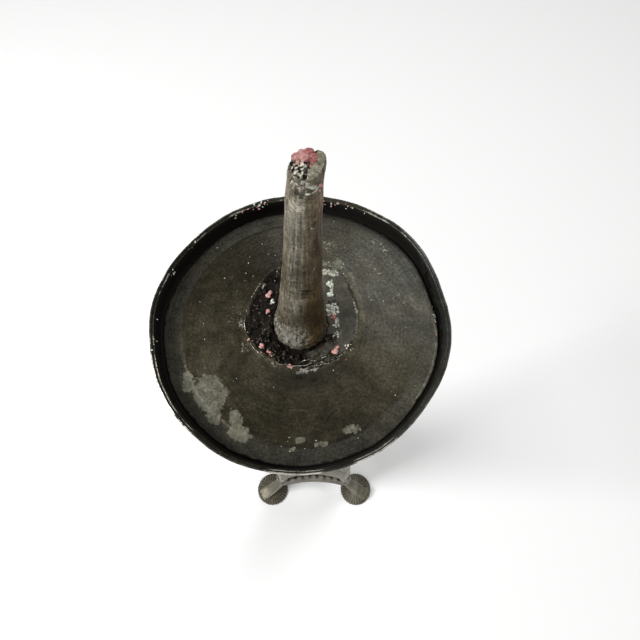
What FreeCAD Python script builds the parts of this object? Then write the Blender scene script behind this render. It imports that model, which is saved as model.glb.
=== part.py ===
import FreeCAD, Part
import math
import os
import Sketcher

# A pewter pricket candlestick: three shell feet and S-curved legs carry a three-panel
# plinth, a stem of hollow castings stands on the plinth, and a drip pan with a tall
# pricket closes the top. One iron rod pulls the whole stack together.
# Origin: on the stem's axis, at the level the feet stand on. +Z is up, -Y is the front.

SIZES = {
    # shell feet
    "foot_circle": 79,
    "shell_radius": 25,
    "shell_height": 9,
    "shell_flat": 19,
    "shell_edge": 3,
    "flute_radius": 1.6,
    "flute_centre": 25.5,
    # legs: a flared bar with a tongue that lies on the shell
    "leg_width": 15,
    "leg_chamfer": 3,
    "leg_top": 118,
    "leg_head_out": 60,
    "leg_head_in": 44,
    "leg_waist": 56,
    "leg_waist_out": 64,
    "leg_waist_in": 51,
    "leg_thigh_curve": 200,
    "leg_shin_curve": 60,
    "tongue_start": 72,
    "tongue_end": 97,
    "tongue_thick": 5,
    "tongue_root": 88,
    "tongue_root_height": 17.5,
    # aprons between the legs
    "apron_reach": 60,
    "apron_depth": 8,
    "apron_low": 42,
    "apron_high": 106,
    "apron_inner_curve": 191,
    "apron_outer_curve": 235,
    "apron_arch": 45,
    "apron_arch_centre": 13.8,
    "scallop_radius": 8,
    "scallop_near": 14,
    "scallop_far": 33,
    # three-panel plinth
    "plinth_wall": 3,
    "plinth_corner_low": 58,
    "plinth_corner_mid": 53,
    "plinth_corner_top": 30,
    "plinth_step": 195,
    "plinth_top": 240,
    "facet_low": 7,
    "facet_mid": 6,
    "facet_top": 4,
    "panel_curve_low": 142,
    "panel_curve_mid": 142,
    "panel_curve_top": 130,
    "panel_arch": 55,
    "panel_arch_centre": 88.3,
    "cap_radius": 30,
    "cap_thick": 4,
    # registers that centre each casting on the one below
    "rod_radius": 4,
    "rod_clearance": 0.5,
    "register_radius": 7,
    "register_height": 2,
    "register_depth": 2.2,
    "register_gap": 0.1,
    "casting_wall": 2.5,
    # neck ring and neck
    "ring_height": 8,
    "ring_curve": 4.8,
    "neck_radius": 24,
    "neck_height": 33,
    "neck_step": 4,
    "neck_curve": 34,
    "neck_waist": 16,
    "neck_floor": 5,
    "neck_roof": 4,
    "bead_height": 5,
    "bead_step": 1,
    "bead_curve": 2.6,
    # saucer, made of two castings
    "saucer_radius": 37,
    "saucer_foot": 18,
    "saucer_curve": 26,
    "saucer_lower_height": 12,
    "saucer_edge": 2,
    "saucer_well": 7,
    "saucer_upper_radius": 36.2,
    "saucer_upper_height": 6,
    "saucer_upper_edge": 2.5,
    "saucer_bead_curve": 3,
    "saucer_crest": 33,
    "saucer_dish_curve": 24,
    "saucer_seat": 4,
    "saucer_seat_radius": 21,
    # calyx
    "calyx_foot": 18,
    "calyx_lip": 25,
    "calyx_floor": 5,
    "calyx_height": 42,
    "calyx_curve": 60,
    "leaf_notch": 3.6,
    "leaf_notch_height": 43,
    "leaf_count": 12,
    # vase, made of two castings
    "vase_stalk": 11,
    "vase_stalk_height": 32,
    "vase_foot_curve": 20,
    "vase_cup_radius": 21,
    "vase_cup_height": 48,
    "vase_cup_curve": 24,
    "vase_radius": 30,
    "vase_lower_height": 67,
    "vase_hollow_curve": 22,
    "vase_hollow_radius": 17,
    "vase_hollow_height": 49,
    "vase_upper_height": 50,
    "vase_shoulder_curve": 34,
    "vase_shoulder": 18,
    "vase_shoulder_height": 32,
    "vase_neck_curve": 24,
    "vase_neck": 12,
    "vase_roof": 4,
    "vase_throat_curve": 32,
    "vase_throat": 13,
    "vase_throat_height": 33,
    # knop
    "knop_edge": 14,
    "knop_step": 2,
    "knop_height": 16,
    "knop_curve": 9,
    # baluster, made of two castings
    "belly_radius": 19,
    "belly_height": 30,
    "belly_low_curve": 22,
    "belly_high_curve": 60,
    "belly_floor": 8,
    "belly_hollow": 15,
    "belly_hollow_curve": 56,
    "shoulder_radius": 14,
    "shoulder_height": 60,
    "shoulder_curve": 70,
    "baluster_waist": 11,
    "baluster_lower_height": 89,
    "baluster_upper_height": 70,
    "shaft_curve": 260,
    "shaft_top": 13,
    "shaft_height": 60,
    "head_curve": 20,
    "head_radius": 16,
    "head_roof": 5,
    "head_hollow": 10,
    "head_hollow_height": 58,
    # collar and cup under the pan
    "collar_height": 12,
    "collar_curve": 7,
    "cup_foot": 13,
    "cup_foot_curve": 14,
    "cup_bowl": 18,
    "cup_bowl_height": 10,
    "cup_curve": 28,
    "cup_radius": 32,
    "cup_lip": 3,
    "cup_height": 36,
    "cup_hollow_curve": 26,
    "cup_hollow": 17,
    "cup_hollow_height": 13,
    "cup_floor": 9,
    # drip pan
    "pan_radius": 70,
    "pan_foot": 67.8,
    "pan_chamfer": 1.8,
    "pan_crease": 66.6,
    "pan_wall": 2.2,
    "pan_floor": 3,
    "pan_height": 12,
    "pan_step_radius": 57,
    "pan_step": 0.6,
    # pricket and its soldered flange
    "flange_radius": 24,
    "flange_thick": 1.6,
    "flange_chamfer": 1,
    "flange_gap": 0.6,
    "pricket_foot": 10.8,
    "pricket_swell": 12,
    "pricket_shank": 10.8,
    "pricket_middle": 7.2,
    "pricket_tip": 4.7,
    "pricket_height": 120,
    "pricket_lean": 5.7,
    "crater_radius": 3,
    "crater_depth": 5,
    "rod_socket": 22,
    "socket_depth": 23,
    "socket_gap": 0.05,
    # rod hardware
    "rod_tail": 14,
    "washer_radius": 11,
    "washer_thick": 2,
    "nut_side": 14,
    "nut_thick": 6.5,
}

SIDE_ANGLES = {"front": 270, "right": 30, "left": 150}
LEG_ANGLES = {"left": 210, "right": 330, "back": 90}
COS_60 = 0.5
SIN_60 = math.sqrt(3) / 2
TAN_30 = 1 / math.sqrt(3)
FULL_TURN = 360
SHELL_FLUTES = 30
CUT_REACH = 300
TOUCH = 1e-4
HOLE = "rod_radius + rod_clearance"

# The pricket's levels: share of its height, share of its lean, and radius.
PRICKET_LEVELS = {
    "foot": (0, 0, "pricket_foot"),
    "swell": (0.05, 0.02, "pricket_swell"),
    "shank": (0.15, 0.13, "pricket_shank"),
    "middle": (0.56, 0.55, "pricket_middle"),
    "tip": (1, 1, "pricket_tip"),
}

doc = FreeCAD.newDocument("candlestick")
pieces = []


# ---------------------------------------------------------------- sizes and expressions

def make_sheet():
    sheet = doc.addObject("Spreadsheet::Sheet", "Sizes")
    for row, (name, value) in enumerate(SIZES.items(), start=1):
        sheet.set(f"A{row}", name)
        sheet.set(f"B{row}", str(value))
        sheet.setAlias(f"B{row}", name)
    doc.recompute()


def is_number(word):
    return word.replace(".", "", 1).isdigit()


def term_value(term):
    value = 1.0
    for factor in term.split("*"):
        value *= float(factor) if is_number(factor) else SIZES[factor]
    return value


def value_of(text):
    """The number that a sum such as 'pan_radius - pan_wall*2' stands for."""
    total, sign = 0.0, 1
    for word in text.split():
        if word == "+":
            sign = 1
        elif word == "-":
            sign = -1
        else:
            total += sign * term_value(word)
    return total


def expression_of(text):
    """The same sum, written for the expression engine."""
    words = []
    for word in text.split():
        factors = word.split("*")
        named = [f if f in "+-" or is_number(f) else f"Sizes.{f}" for f in factors]
        words.append(" * ".join(named))
    return " ".join(words)


def bind(thing, target, text):
    thing.setExpression(target, expression_of(text))


# ---------------------------------------------------------------- sketches and features

def origin_plane(body, role):
    return next(f for f in body.Origin.OriginFeatures if f.Role == role)


def new_body(name):
    body = doc.addObject("PartDesign::Body", name)
    body.Label = name
    pieces.append(body)
    return body


def new_sketch(body, name, plane, height=None):
    sketch = body.newObject("Sketcher::SketchObject", f"{body.Name}_{name}")
    sketch.AttachmentSupport = (origin_plane(body, plane), [""])
    sketch.MapMode = "FlatFace"
    if height:
        bind(sketch, "AttachmentOffset.Base.z", height)
    return sketch


def arc_between(start, end, radius, bulges):
    """A minor arc; one that bulges turns anticlockwise from start to end."""
    if not bulges:
        start, end = end, start
    middle = (start + end) * 0.5
    half = (end - start).Length / 2
    along = (end - start).normalize()
    left = FreeCAD.Vector(-along.y, along.x, 0)
    centre = middle + left * math.sqrt(radius ** 2 - half ** 2)
    first = math.atan2(start.y - centre.y, start.x - centre.x)
    last = math.atan2(end.y - centre.y, end.x - centre.x)
    circle = Part.Circle(centre, FreeCAD.Vector(0, 0, 1), radius)
    return Part.ArcOfCircle(circle, first, last)


def pin_vertex(sketch, edge, position, corner):
    """Holds one vertex at the two sums given in its corner."""
    for axis, kind, text in ((-2, "DistanceX", corner[0]), (-1, "DistanceY", corner[1])):
        value = value_of(text)
        if abs(value) < TOUCH:
            sketch.addConstraint(Sketcher.Constraint("PointOnObject", edge, position, axis))
            continue
        index = sketch.addConstraint(Sketcher.Constraint(kind, edge, position, value))
        if not is_number(text):
            bind(sketch, f"Constraints[{index}]", text)


def draw_outline(sketch, corners):
    """A closed loop. A corner is (across, up), or (across, up, "bulge"/"hollow", radius)
    when the edge that leaves it is an arc. The loop runs anticlockwise."""
    points = [FreeCAD.Vector(value_of(c[0]), value_of(c[1]), 0) for c in corners]
    starts, ends = [], []
    for number, corner in enumerate(corners):
        here, there = points[number], points[(number + 1) % len(points)]
        if len(corner) == 2:
            sketch.addGeometry(Part.LineSegment(here, there), False)
            starts.append(1)
            ends.append(2)
            continue
        bulges = corner[2] == "bulge"
        radius = value_of(corner[3])
        sketch.addGeometry(arc_between(here, there, radius, bulges), False)
        starts.append(1 if bulges else 2)
        ends.append(2 if bulges else 1)
    for number, corner in enumerate(corners):
        after = (number + 1) % len(corners)
        sketch.addConstraint(
            Sketcher.Constraint("Coincident", number, ends[number], after, starts[after]))
        pin_vertex(sketch, number, starts[number], corner)
        if len(corner) == 4:
            index = sketch.addConstraint(
                Sketcher.Constraint("Radius", number, value_of(corner[3])))
            if not is_number(corner[3]):
                bind(sketch, f"Constraints[{index}]", corner[3])


def draw_circle(sketch, across, up, radius):
    centre = FreeCAD.Vector(value_of(across), value_of(up), 0)
    sketch.addGeometry(Part.Circle(centre, FreeCAD.Vector(0, 0, 1), value_of(radius)), False)
    pin_vertex(sketch, 0, 3, (across, up))
    index = sketch.addConstraint(Sketcher.Constraint("Radius", 0, value_of(radius)))
    bind(sketch, f"Constraints[{index}]", radius)


def revolve(body, corners):
    sketch = new_sketch(body, "profile", "XZ_Plane")
    draw_outline(sketch, corners)
    turned = body.newObject("PartDesign::Revolution", f"{body.Name}_turned")
    turned.Profile = sketch
    turned.ReferenceAxis = (sketch, ["V_Axis"])
    turned.Angle = FULL_TURN
    doc.recompute()
    return turned


def pad(body, sketch, length, both_ways=False):
    feature = body.newObject("PartDesign::Pad", f"{sketch.Name}_pad")
    feature.Profile = sketch
    feature.SideType = "Symmetric" if both_ways else "One side"
    bind(feature, "Length", length)
    doc.recompute()
    return feature


def pocket_through(body, sketch):
    """Cuts both ways and checks that something went."""
    before = body.Shape.Volume
    feature = body.newObject("PartDesign::Pocket", f"{sketch.Name}_pocket")
    feature.Profile = sketch
    feature.SideType = "Symmetric"
    feature.Length = CUT_REACH
    doc.recompute()
    if body.Shape.Volume > before - TOUCH:
        raise RuntimeError(f"{feature.Name} removed nothing")
    return feature


def repeat_round(body, feature, count, sweep):
    pattern = body.newObject("PartDesign::PolarPattern", f"{feature.Name}_ring")
    pattern.Originals = [feature]
    pattern.Axis = (origin_plane(body, "Z_Axis"), [""])
    pattern.Angle = sweep
    pattern.Occurrences = count
    body.Tip = pattern
    doc.recompute()


def place(body, angle=0, radius="0", height="0"):
    """Stands a piece at a height, out along the given angle, turned to face it."""
    turn = FreeCAD.Rotation(FreeCAD.Vector(0, 0, 1), angle)
    body.Placement = FreeCAD.Placement(FreeCAD.Vector(0, 0, 0), turn)
    if radius != "0":
        out = expression_of(radius)
        body.setExpression("Placement.Base.x", f"({out}) * cos({angle} deg)")
        body.setExpression("Placement.Base.y", f"({out}) * sin({angle} deg)")
    if height != "0":
        bind(body, "Placement.Base.z", height)


# ---------------------------------------------------------------- feet, legs and aprons

def make_shell_foot(side, angle):
    body = new_body(f"shell_foot_{side}")
    revolve(body, [
        ("0", "0"),
        ("shell_radius", "0"),
        ("shell_radius", "shell_edge", "bulge", "shell_height"),
        ("shell_flat", "shell_height"),
        ("0", "shell_height"),
    ])
    flute = new_sketch(body, "flute", "XY_Plane")
    draw_circle(flute, "flute_centre", "0", "flute_radius")
    repeat_round(body, pocket_through(body, flute), SHELL_FLUTES, FULL_TURN)
    place(body, angle, "foot_circle")


def front_edges_of_leg(shape):
    """The long edges of the face that looks away from the stem, above the tongue's tip."""
    half = SIZES["leg_width"] / 2
    tongue_top = SIZES["shell_height"] + SIZES["tongue_thick"]
    names = []
    for number, edge in enumerate(shape.Edges, start=1):
        ends = [vertex.Point for vertex in edge.Vertexes]
        on_side = all(abs(abs(p.y) - half) < TOUCH for p in ends)
        in_front = min(p.x for p in ends) > SIZES["leg_head_out"] - TOUCH
        above_tip = max(p.z for p in ends) > tongue_top + TOUCH
        if on_side and in_front and above_tip:
            names.append(f"Edge{number}")
    return names


def make_leg(side, angle):
    body = new_body(f"leg_{side}")
    outline = new_sketch(body, "outline", "XZ_Plane")
    draw_outline(outline, [
        ("tongue_start", "shell_height"),
        ("tongue_end", "shell_height"),
        ("tongue_end", "shell_height + tongue_thick"),
        ("tongue_root", "tongue_root_height", "hollow", "leg_shin_curve"),
        ("leg_waist_out", "leg_waist", "hollow", "leg_thigh_curve"),
        ("leg_head_out", "leg_top"),
        ("leg_head_in", "leg_top", "hollow", "leg_thigh_curve"),
        ("leg_waist_in", "leg_waist", "bulge", "leg_shin_curve"),
    ])
    bar = pad(body, outline, "leg_width", both_ways=True)
    chamfer = body.newObject("PartDesign::Chamfer", f"{body.Name}_facets")
    chamfer.Base = (bar, front_edges_of_leg(body.Shape))
    bind(chamfer, "Size", "leg_chamfer")
    doc.recompute()
    place(body, angle)


def corner_point(reach, half_width, inset=None):
    """A point half_width to the side of a corner ray, at reach less inset from the axis."""
    across, out = f"{reach}*{SIN_60}", f"{reach}*{COS_60}"
    if inset:
        across += f" - {inset}*{SIN_60}"
        out += f" - {inset}*{COS_60}"
    if half_width:
        across += f" - {half_width}*{COS_60}"
        out += f" + {half_width}*{SIN_60}"
    return across, out


def mirrored(corner):
    """The same point on the other side of the centre line: every term changes sign."""
    sign, flipped = "-", ["0"]
    for word in corner[0].split():
        if word in "+-":
            sign = "-" if word == "+" else "+"
        else:
            flipped += [sign, word]
    return " ".join(flipped), corner[1]


def make_apron(side, angle):
    body = new_body(f"apron_{side}")
    plan = new_sketch(body, "plan", "XY_Plane", "apron_low")
    outer = corner_point("apron_reach", "leg_width*0.5")
    inner = corner_point("apron_reach", "leg_width*0.5", inset="apron_depth")
    draw_outline(plan, [
        (*mirrored(inner), "bulge", "apron_inner_curve"),
        inner,
        (*outer, "hollow", "apron_outer_curve"),
        mirrored(outer),
    ])
    pad(body, plan, "apron_high - apron_low")
    arch = new_sketch(body, "arch", "XZ_Plane")
    draw_circle(arch, "0", "apron_arch_centre", "apron_arch")
    pocket_through(body, arch)
    across = ("0 - scallop_far", "0 - scallop_near", "scallop_near", "scallop_far")
    for number, centre in enumerate(across):
        scallop = new_sketch(body, f"scallop{number}", "XZ_Plane")
        draw_circle(scallop, centre, "apron_high", "scallop_radius")
        pocket_through(body, scallop)
    place(body, angle - 90)


# ---------------------------------------------------------------- plinth

def panel_section(body, level, height):
    """One level of a panel: half a facet, a hollow curve and half a facet, one wall thick.
    Inside, the facet is shorter, because the two faces meet at 120 degrees."""
    corner, facet, curve = (f"{name}_{level}" for name in ("plinth_corner", "facet", "panel_curve"))
    wall = "plinth_wall"
    inner_end = corner_point(corner, facet, inset=wall)
    inner_end = (f"{inner_end[0]} + {wall}*{TAN_30 * COS_60}",
                 f"{inner_end[1]} - {wall}*{TAN_30 * SIN_60}")
    outer_end = corner_point(corner, facet)
    inner_tip = corner_point(corner, None, inset=wall)
    outer_tip = corner_point(corner, None)
    sketch = new_sketch(body, level, "XY_Plane", height)
    draw_outline(sketch, [
        mirrored(inner_tip),
        (*mirrored(inner_end), "bulge", f"{curve} - {wall}"),
        inner_end,
        inner_tip,
        outer_tip,
        (*outer_end, "hollow", curve),
        mirrored(outer_end),
        mirrored(outer_tip),
    ])
    return sketch


def make_plinth_panel(side, angle):
    body = new_body(f"plinth_{side}")
    loft = body.newObject("PartDesign::AdditiveLoft", f"{body.Name}_loft")
    loft.Profile = panel_section(body, "low", "leg_top")
    loft.Sections = [
        panel_section(body, "mid", "plinth_step"),
        panel_section(body, "top", "plinth_top"),
    ]
    loft.Ruled = True
    doc.recompute()
    arch = new_sketch(body, "arch", "XZ_Plane")
    draw_circle(arch, "0", "panel_arch_centre", "panel_arch")
    pocket_through(body, arch)
    place(body, angle - 90)


# ---------------------------------------------------------------- stem

def register_recess():
    """The start of a profile: a recess in its underside for the register below."""
    socket = "register_radius + register_gap"
    return [(HOLE, "register_depth"), (socket, "register_depth"), (socket, "0")]


def register_boss(height):
    """The register that stands on a casting's top."""
    return [
        ("register_radius", height),
        ("register_radius", f"{height} + register_height"),
        (HOLE, f"{height} + register_height"),
    ]


def make_plinth_cap():
    revolve(new_body("plinth_cap"), [
        (HOLE, "0"),
        ("cap_radius", "0"),
        ("cap_radius", "cap_thick"),
    ] + register_boss("cap_thick"))


def make_neck_ring():
    revolve(new_body("neck_ring"), register_recess() + [
        ("neck_radius", "0", "bulge", "ring_curve"),
        ("neck_radius", "ring_height"),
    ] + register_boss("ring_height"))


def make_neck():
    bead = "neck_height - bead_height"
    revolve(new_body("neck"), register_recess() + [
        ("neck_radius", "0"),
        ("neck_radius", "neck_step", "hollow", "neck_curve"),
        ("neck_waist", bead),
        ("neck_waist + bead_step", bead, "bulge", "bead_curve"),
        ("neck_waist + bead_step", "neck_height"),
    ] + register_boss("neck_height") + [
        (HOLE, "neck_height - neck_roof"),
        ("neck_waist - neck_roof", "neck_height - neck_roof*2"),
        ("neck_radius - neck_roof*2", "neck_floor"),
        (HOLE, "neck_floor"),
    ])


def make_saucer_lower():
    top = "saucer_lower_height"
    revolve(new_body("saucer_lower"), register_recess() + [
        ("saucer_foot", "0", "bulge", "saucer_curve"),
        ("saucer_radius", f"{top} - saucer_edge"),
        ("saucer_radius", top),
        ("register_radius", top),
        ("register_radius", f"{top} - saucer_well"),
        (HOLE, f"{top} - saucer_well"),
    ])


def make_saucer_upper():
    revolve(new_body("saucer_upper"), [
        (HOLE, "0"),
        ("saucer_upper_radius", "0"),
        ("saucer_upper_radius", "saucer_upper_edge", "bulge", "saucer_bead_curve"),
        ("saucer_crest", "saucer_upper_height", "hollow", "saucer_dish_curve"),
        ("saucer_seat_radius", "saucer_seat"),
    ] + register_boss("saucer_seat"))


def make_calyx():
    body = new_body("calyx")
    revolve(body, register_recess() + [
        ("calyx_foot", "0", "hollow", "calyx_curve"),
        ("calyx_lip", "calyx_height"),
        ("calyx_lip - casting_wall", "calyx_height", "bulge", "calyx_curve"),
        ("calyx_foot - casting_wall", "calyx_floor"),
    ] + register_boss("calyx_floor"))
    notch = new_sketch(body, "notch", "XZ_Plane")
    draw_circle(notch, "0", "leaf_notch_height", "leaf_notch")
    opposite_pairs = SIZES["leaf_count"] // 2
    step = FULL_TURN / SIZES["leaf_count"]
    repeat_round(body, pocket_through(body, notch), opposite_pairs, step * (opposite_pairs - 1))


def make_vase_lower():
    seam = "vase_lower_height"
    revolve(new_body("vase_lower"), register_recess() + [
        ("vase_stalk", "0"),
        ("vase_stalk", "vase_stalk_height", "hollow", "vase_foot_curve"),
        ("vase_cup_radius", "vase_cup_height", "bulge", "vase_cup_curve"),
        ("vase_radius", seam),
        ("vase_radius - casting_wall", seam, "hollow", "vase_hollow_curve"),
        ("vase_hollow_radius", "vase_hollow_height"),
        (HOLE, "vase_stalk_height"),
    ])


def make_vase_upper():
    top = "vase_upper_height"
    revolve(new_body("vase_upper"), [
        ("vase_radius - casting_wall", "0"),
        ("vase_radius", "0", "bulge", "vase_shoulder_curve"),
        ("vase_shoulder", "vase_shoulder_height", "hollow", "vase_neck_curve"),
        ("vase_neck", top),
    ] + register_boss(top) + [
        (HOLE, f"{top} - vase_roof"),
        ("vase_throat", "vase_throat_height", "hollow", "vase_throat_curve"),
    ])


def make_knop():
    revolve(new_body("knop"), register_recess() + [
        ("knop_edge", "0"),
        ("knop_edge", "knop_step", "bulge", "knop_curve"),
        ("knop_edge", "knop_height - knop_step"),
        ("knop_edge", "knop_height"),
    ] + register_boss("knop_height"))


def make_baluster_lower():
    seam = "baluster_lower_height"
    revolve(new_body("baluster_lower"), register_recess() + [
        ("vase_neck", "0", "bulge", "belly_low_curve"),
        ("belly_radius", "belly_height", "bulge", "belly_high_curve"),
        ("shoulder_radius", "shoulder_height", "hollow", "shoulder_curve"),
        ("baluster_waist", seam),
        ("baluster_waist - casting_wall", seam, "bulge", "shoulder_curve"),
        ("baluster_waist", "shoulder_height", "hollow", "belly_hollow_curve"),
        ("belly_hollow", "belly_height"),
        (HOLE, "belly_floor"),
    ])


def make_baluster_upper():
    top = "baluster_upper_height"
    revolve(new_body("baluster_upper"), [
        ("baluster_waist - casting_wall", "0"),
        ("baluster_waist", "0", "hollow", "shaft_curve"),
        ("shaft_top", "shaft_height", "hollow", "head_curve"),
        ("head_radius", top),
    ] + register_boss(top) + [
        (HOLE, f"{top} - head_roof"),
        ("head_hollow", "head_hollow_height"),
    ])


def make_upper_collar():
    revolve(new_body("upper_collar"), register_recess() + [
        ("head_radius", "0", "bulge", "collar_curve"),
        ("head_radius", "collar_height"),
    ] + register_boss("collar_height"))


def make_pan_cup():
    top = "cup_height"
    revolve(new_body("pan_cup"), register_recess() + [
        ("cup_foot", "0", "hollow", "cup_foot_curve"),
        ("cup_bowl", "cup_bowl_height", "bulge", "cup_curve"),
        ("cup_radius", f"{top} - cup_lip"),
        ("cup_radius", top),
        ("cup_radius - casting_wall", top),
        ("cup_radius - casting_wall", f"{top} - cup_lip", "hollow", "cup_hollow_curve"),
        ("cup_hollow", "cup_hollow_height"),
        (HOLE, "cup_floor"),
    ])


# ---------------------------------------------------------------- pan, pricket and rod

def make_drip_pan():
    revolve(new_body("drip_pan"), [
        (HOLE, "0"),
        ("pan_foot", "0"),
        ("pan_radius", "pan_chamfer"),
        ("pan_radius", "pan_height"),
        ("pan_radius - pan_wall", "pan_height"),
        ("pan_crease", "pan_floor - pan_step"),
        ("pan_step_radius + pan_step", "pan_floor - pan_step"),
        ("pan_step_radius", "pan_floor"),
        (HOLE, "pan_floor"),
    ])


def make_pricket_flange():
    inner = "pricket_swell + flange_gap"
    revolve(new_body("pricket_flange"), [
        (inner, "0"),
        ("flange_radius", "0"),
        ("flange_radius - flange_chamfer", "flange_thick"),
        (inner, "flange_thick"),
    ])


def sink_hole(body, name, level, radius, depth, upward):
    """A round hole from one of the pricket's ends, centred on its leaning axis there."""
    before = body.Shape.Volume
    height_share, lean_share, _ = PRICKET_LEVELS[level]
    outline = new_sketch(body, name, "XY_Plane", f"pricket_height*{height_share}")
    draw_circle(outline, f"pricket_lean*{lean_share}", "0", radius)
    hole = body.newObject("PartDesign::Pocket", f"pricket_{name}_pocket")
    hole.Profile = outline
    hole.Reversed = upward
    bind(hole, "Length", depth)
    doc.recompute()
    if body.Shape.Volume > before - TOUCH:
        raise RuntimeError(f"{hole.Name} removed nothing")


def make_pricket():
    """Rings of changing radius that drift sideways, so the spike leans."""
    body = new_body("pricket")
    rings = []
    for level, (height_share, lean_share, radius) in PRICKET_LEVELS.items():
        ring = new_sketch(body, level, "XY_Plane", f"pricket_height*{height_share}")
        draw_circle(ring, f"pricket_lean*{lean_share}", "0", radius)
        rings.append(ring)
    loft = body.newObject("PartDesign::AdditiveLoft", "pricket_loft")
    loft.Profile = rings[0]
    loft.Sections = rings[1:]
    loft.Ruled = True
    doc.recompute()
    sink_hole(body, "socket", "foot", "rod_radius + socket_gap", "socket_depth", upward=True)
    sink_hole(body, "crater", "tip", "crater_radius", "crater_depth", upward=False)


def make_tie_rod(bottom, top):
    rod = doc.addObject("Part::Cylinder", "tie_rod")
    rod.Label = "tie_rod"
    bind(rod, "Radius", "rod_radius")
    rod.setExpression("Height", f"({expression_of(top)}) - ({expression_of(bottom)})")
    bind(rod, "Placement.Base.z", bottom)
    pieces.append(rod)


def drilled(name, blank, thickness, height):
    """A blank with the rod's hole through it, hung below the plinth cap."""
    hole = doc.addObject("Part::Cylinder", f"{name}_hole")
    bind(hole, "Radius", "rod_radius + socket_gap")
    bind(hole, "Height", thickness)
    piece = doc.addObject("Part::Cut", name)
    piece.Base = blank
    piece.Tool = hole
    piece.Label = name
    bind(piece, "Placement.Base.z", height)
    pieces.append(piece)


def make_tie_washer(height):
    disc = doc.addObject("Part::Cylinder", "washer_disc")
    bind(disc, "Radius", "washer_radius")
    bind(disc, "Height", "washer_thick")
    drilled("tie_washer", disc, "washer_thick", height)


def make_tie_nut(height):
    block = doc.addObject("Part::Box", "nut_block")
    for edge in ("Length", "Width"):
        bind(block, edge, "nut_side")
    bind(block, "Height", "nut_thick")
    for direction in ("x", "y"):
        block.setExpression(f"Placement.Base.{direction}", "-Sizes.nut_side / 2")
    drilled("tie_nut", block, "nut_thick", height)


# ---------------------------------------------------------------- assembly

STACK = (
    (make_neck_ring, "ring_height"),
    (make_neck, "neck_height"),
    (make_saucer_lower, "saucer_lower_height"),
    (make_saucer_upper, "saucer_seat"),
    (make_calyx, "calyx_floor"),
    (make_vase_lower, "vase_lower_height"),
    (make_vase_upper, "vase_upper_height"),
    (make_knop, "knop_height"),
    (make_baluster_lower, "baluster_lower_height"),
    (make_baluster_upper, "baluster_upper_height"),
    (make_upper_collar, "collar_height"),
    (make_pan_cup, "cup_height"),
    (make_drip_pan, "pan_floor"),
)


def make_stem():
    """Stacks the castings on the plinth cap and returns the level of the pan's floor."""
    level = "plinth_top + cap_thick"
    for make, height in STACK:
        make()
        place(pieces[-1], height=level)
        level = f"{level} + {height}"
    return level


def check_pieces():
    for thing in doc.Objects:
        if "Invalid" in thing.State or "Error" in thing.State:
            raise RuntimeError(f"{thing.Name} failed: {thing.State}")
    for piece in pieces:
        shape = piece.Shape
        if shape.isNull() or not shape.isValid() or len(shape.Solids) != 1:
            raise RuntimeError(f"{piece.Label} has a bad shape")


def export_pieces():
    os.makedirs("parts", exist_ok=True)
    for piece in pieces:
        piece.Shape.exportStep(f"parts/{piece.Label}.step")


def main():
    make_sheet()
    for side, angle in LEG_ANGLES.items():
        make_shell_foot(side, angle)
        make_leg(side, angle)
    for side, angle in SIDE_ANGLES.items():
        make_apron(side, angle)
        make_plinth_panel(side, angle)
    make_plinth_cap()
    place(pieces[-1], height="plinth_top")
    pan_level = make_stem()
    make_pricket_flange()
    place(pieces[-1], height=pan_level)
    make_pricket()
    place(pieces[-1], height=pan_level)
    make_tie_rod("plinth_top - rod_tail", f"{pan_level} + rod_socket")
    make_tie_washer("plinth_top - washer_thick")
    make_tie_nut("plinth_top - washer_thick - nut_thick")
    doc.recompute()
    check_pieces()
    export_pieces()
    print(len(pieces), "pieces,", "pan floor at", value_of(pan_level))


main()
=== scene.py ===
import math
import random

import bmesh
import bpy
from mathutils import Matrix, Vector, noise


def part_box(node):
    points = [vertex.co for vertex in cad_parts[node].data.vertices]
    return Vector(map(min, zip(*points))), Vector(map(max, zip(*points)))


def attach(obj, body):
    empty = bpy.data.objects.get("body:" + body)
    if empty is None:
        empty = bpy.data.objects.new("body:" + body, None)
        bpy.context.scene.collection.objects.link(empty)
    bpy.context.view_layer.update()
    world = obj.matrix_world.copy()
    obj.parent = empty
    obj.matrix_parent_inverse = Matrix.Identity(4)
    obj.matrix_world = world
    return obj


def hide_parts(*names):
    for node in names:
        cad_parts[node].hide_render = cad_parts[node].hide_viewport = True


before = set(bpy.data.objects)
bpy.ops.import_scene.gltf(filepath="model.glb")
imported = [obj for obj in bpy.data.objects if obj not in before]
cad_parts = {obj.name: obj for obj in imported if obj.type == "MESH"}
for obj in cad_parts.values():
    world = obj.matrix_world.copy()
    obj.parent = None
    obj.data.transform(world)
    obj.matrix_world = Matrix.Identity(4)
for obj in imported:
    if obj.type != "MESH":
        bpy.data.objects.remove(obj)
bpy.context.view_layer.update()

# The candlestick's visible skin, in metres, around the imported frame. Castings are turned,
# swept or lofted in mesh code, and each place comes from the box of the CAD node that the
# piece stands for. Small sizes are written in millimetres and scaled by MM. The last number
# of rough() and the second of around() only pick one noise out of many.

MM = 0.001
TURN = 2 * math.pi
SAME_POINT = 0.004 * MM     # points closer than this are joined
ARC_STEP = 0.9 * MM         # between the points of an arc


# ---------------------------------------------------------------- mesh helpers

def add_mesh(name, points, faces, material, marks=()):
    """A smooth-shaded mesh object. marks holds each point's mask values by name; a mask that a
    point doesn't name is 0 there."""
    mesh = bpy.data.meshes.new(name)
    mesh.from_pydata([tuple(p) for p in points], [], faces)
    for mark in dict.fromkeys(mark for values in marks for mark in values):
        layer = mesh.attributes.new(mark, "FLOAT", "POINT")
        layer.data.foreach_set("value", [values.get(mark, 0) for values in marks])
    face_out(mesh)
    mesh.polygons.foreach_set("use_smooth", [True] * len(mesh.polygons))
    mesh.materials.append(material)
    piece = bpy.data.objects.new(name, mesh)
    bpy.context.scene.collection.objects.link(piece)
    return piece


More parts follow.
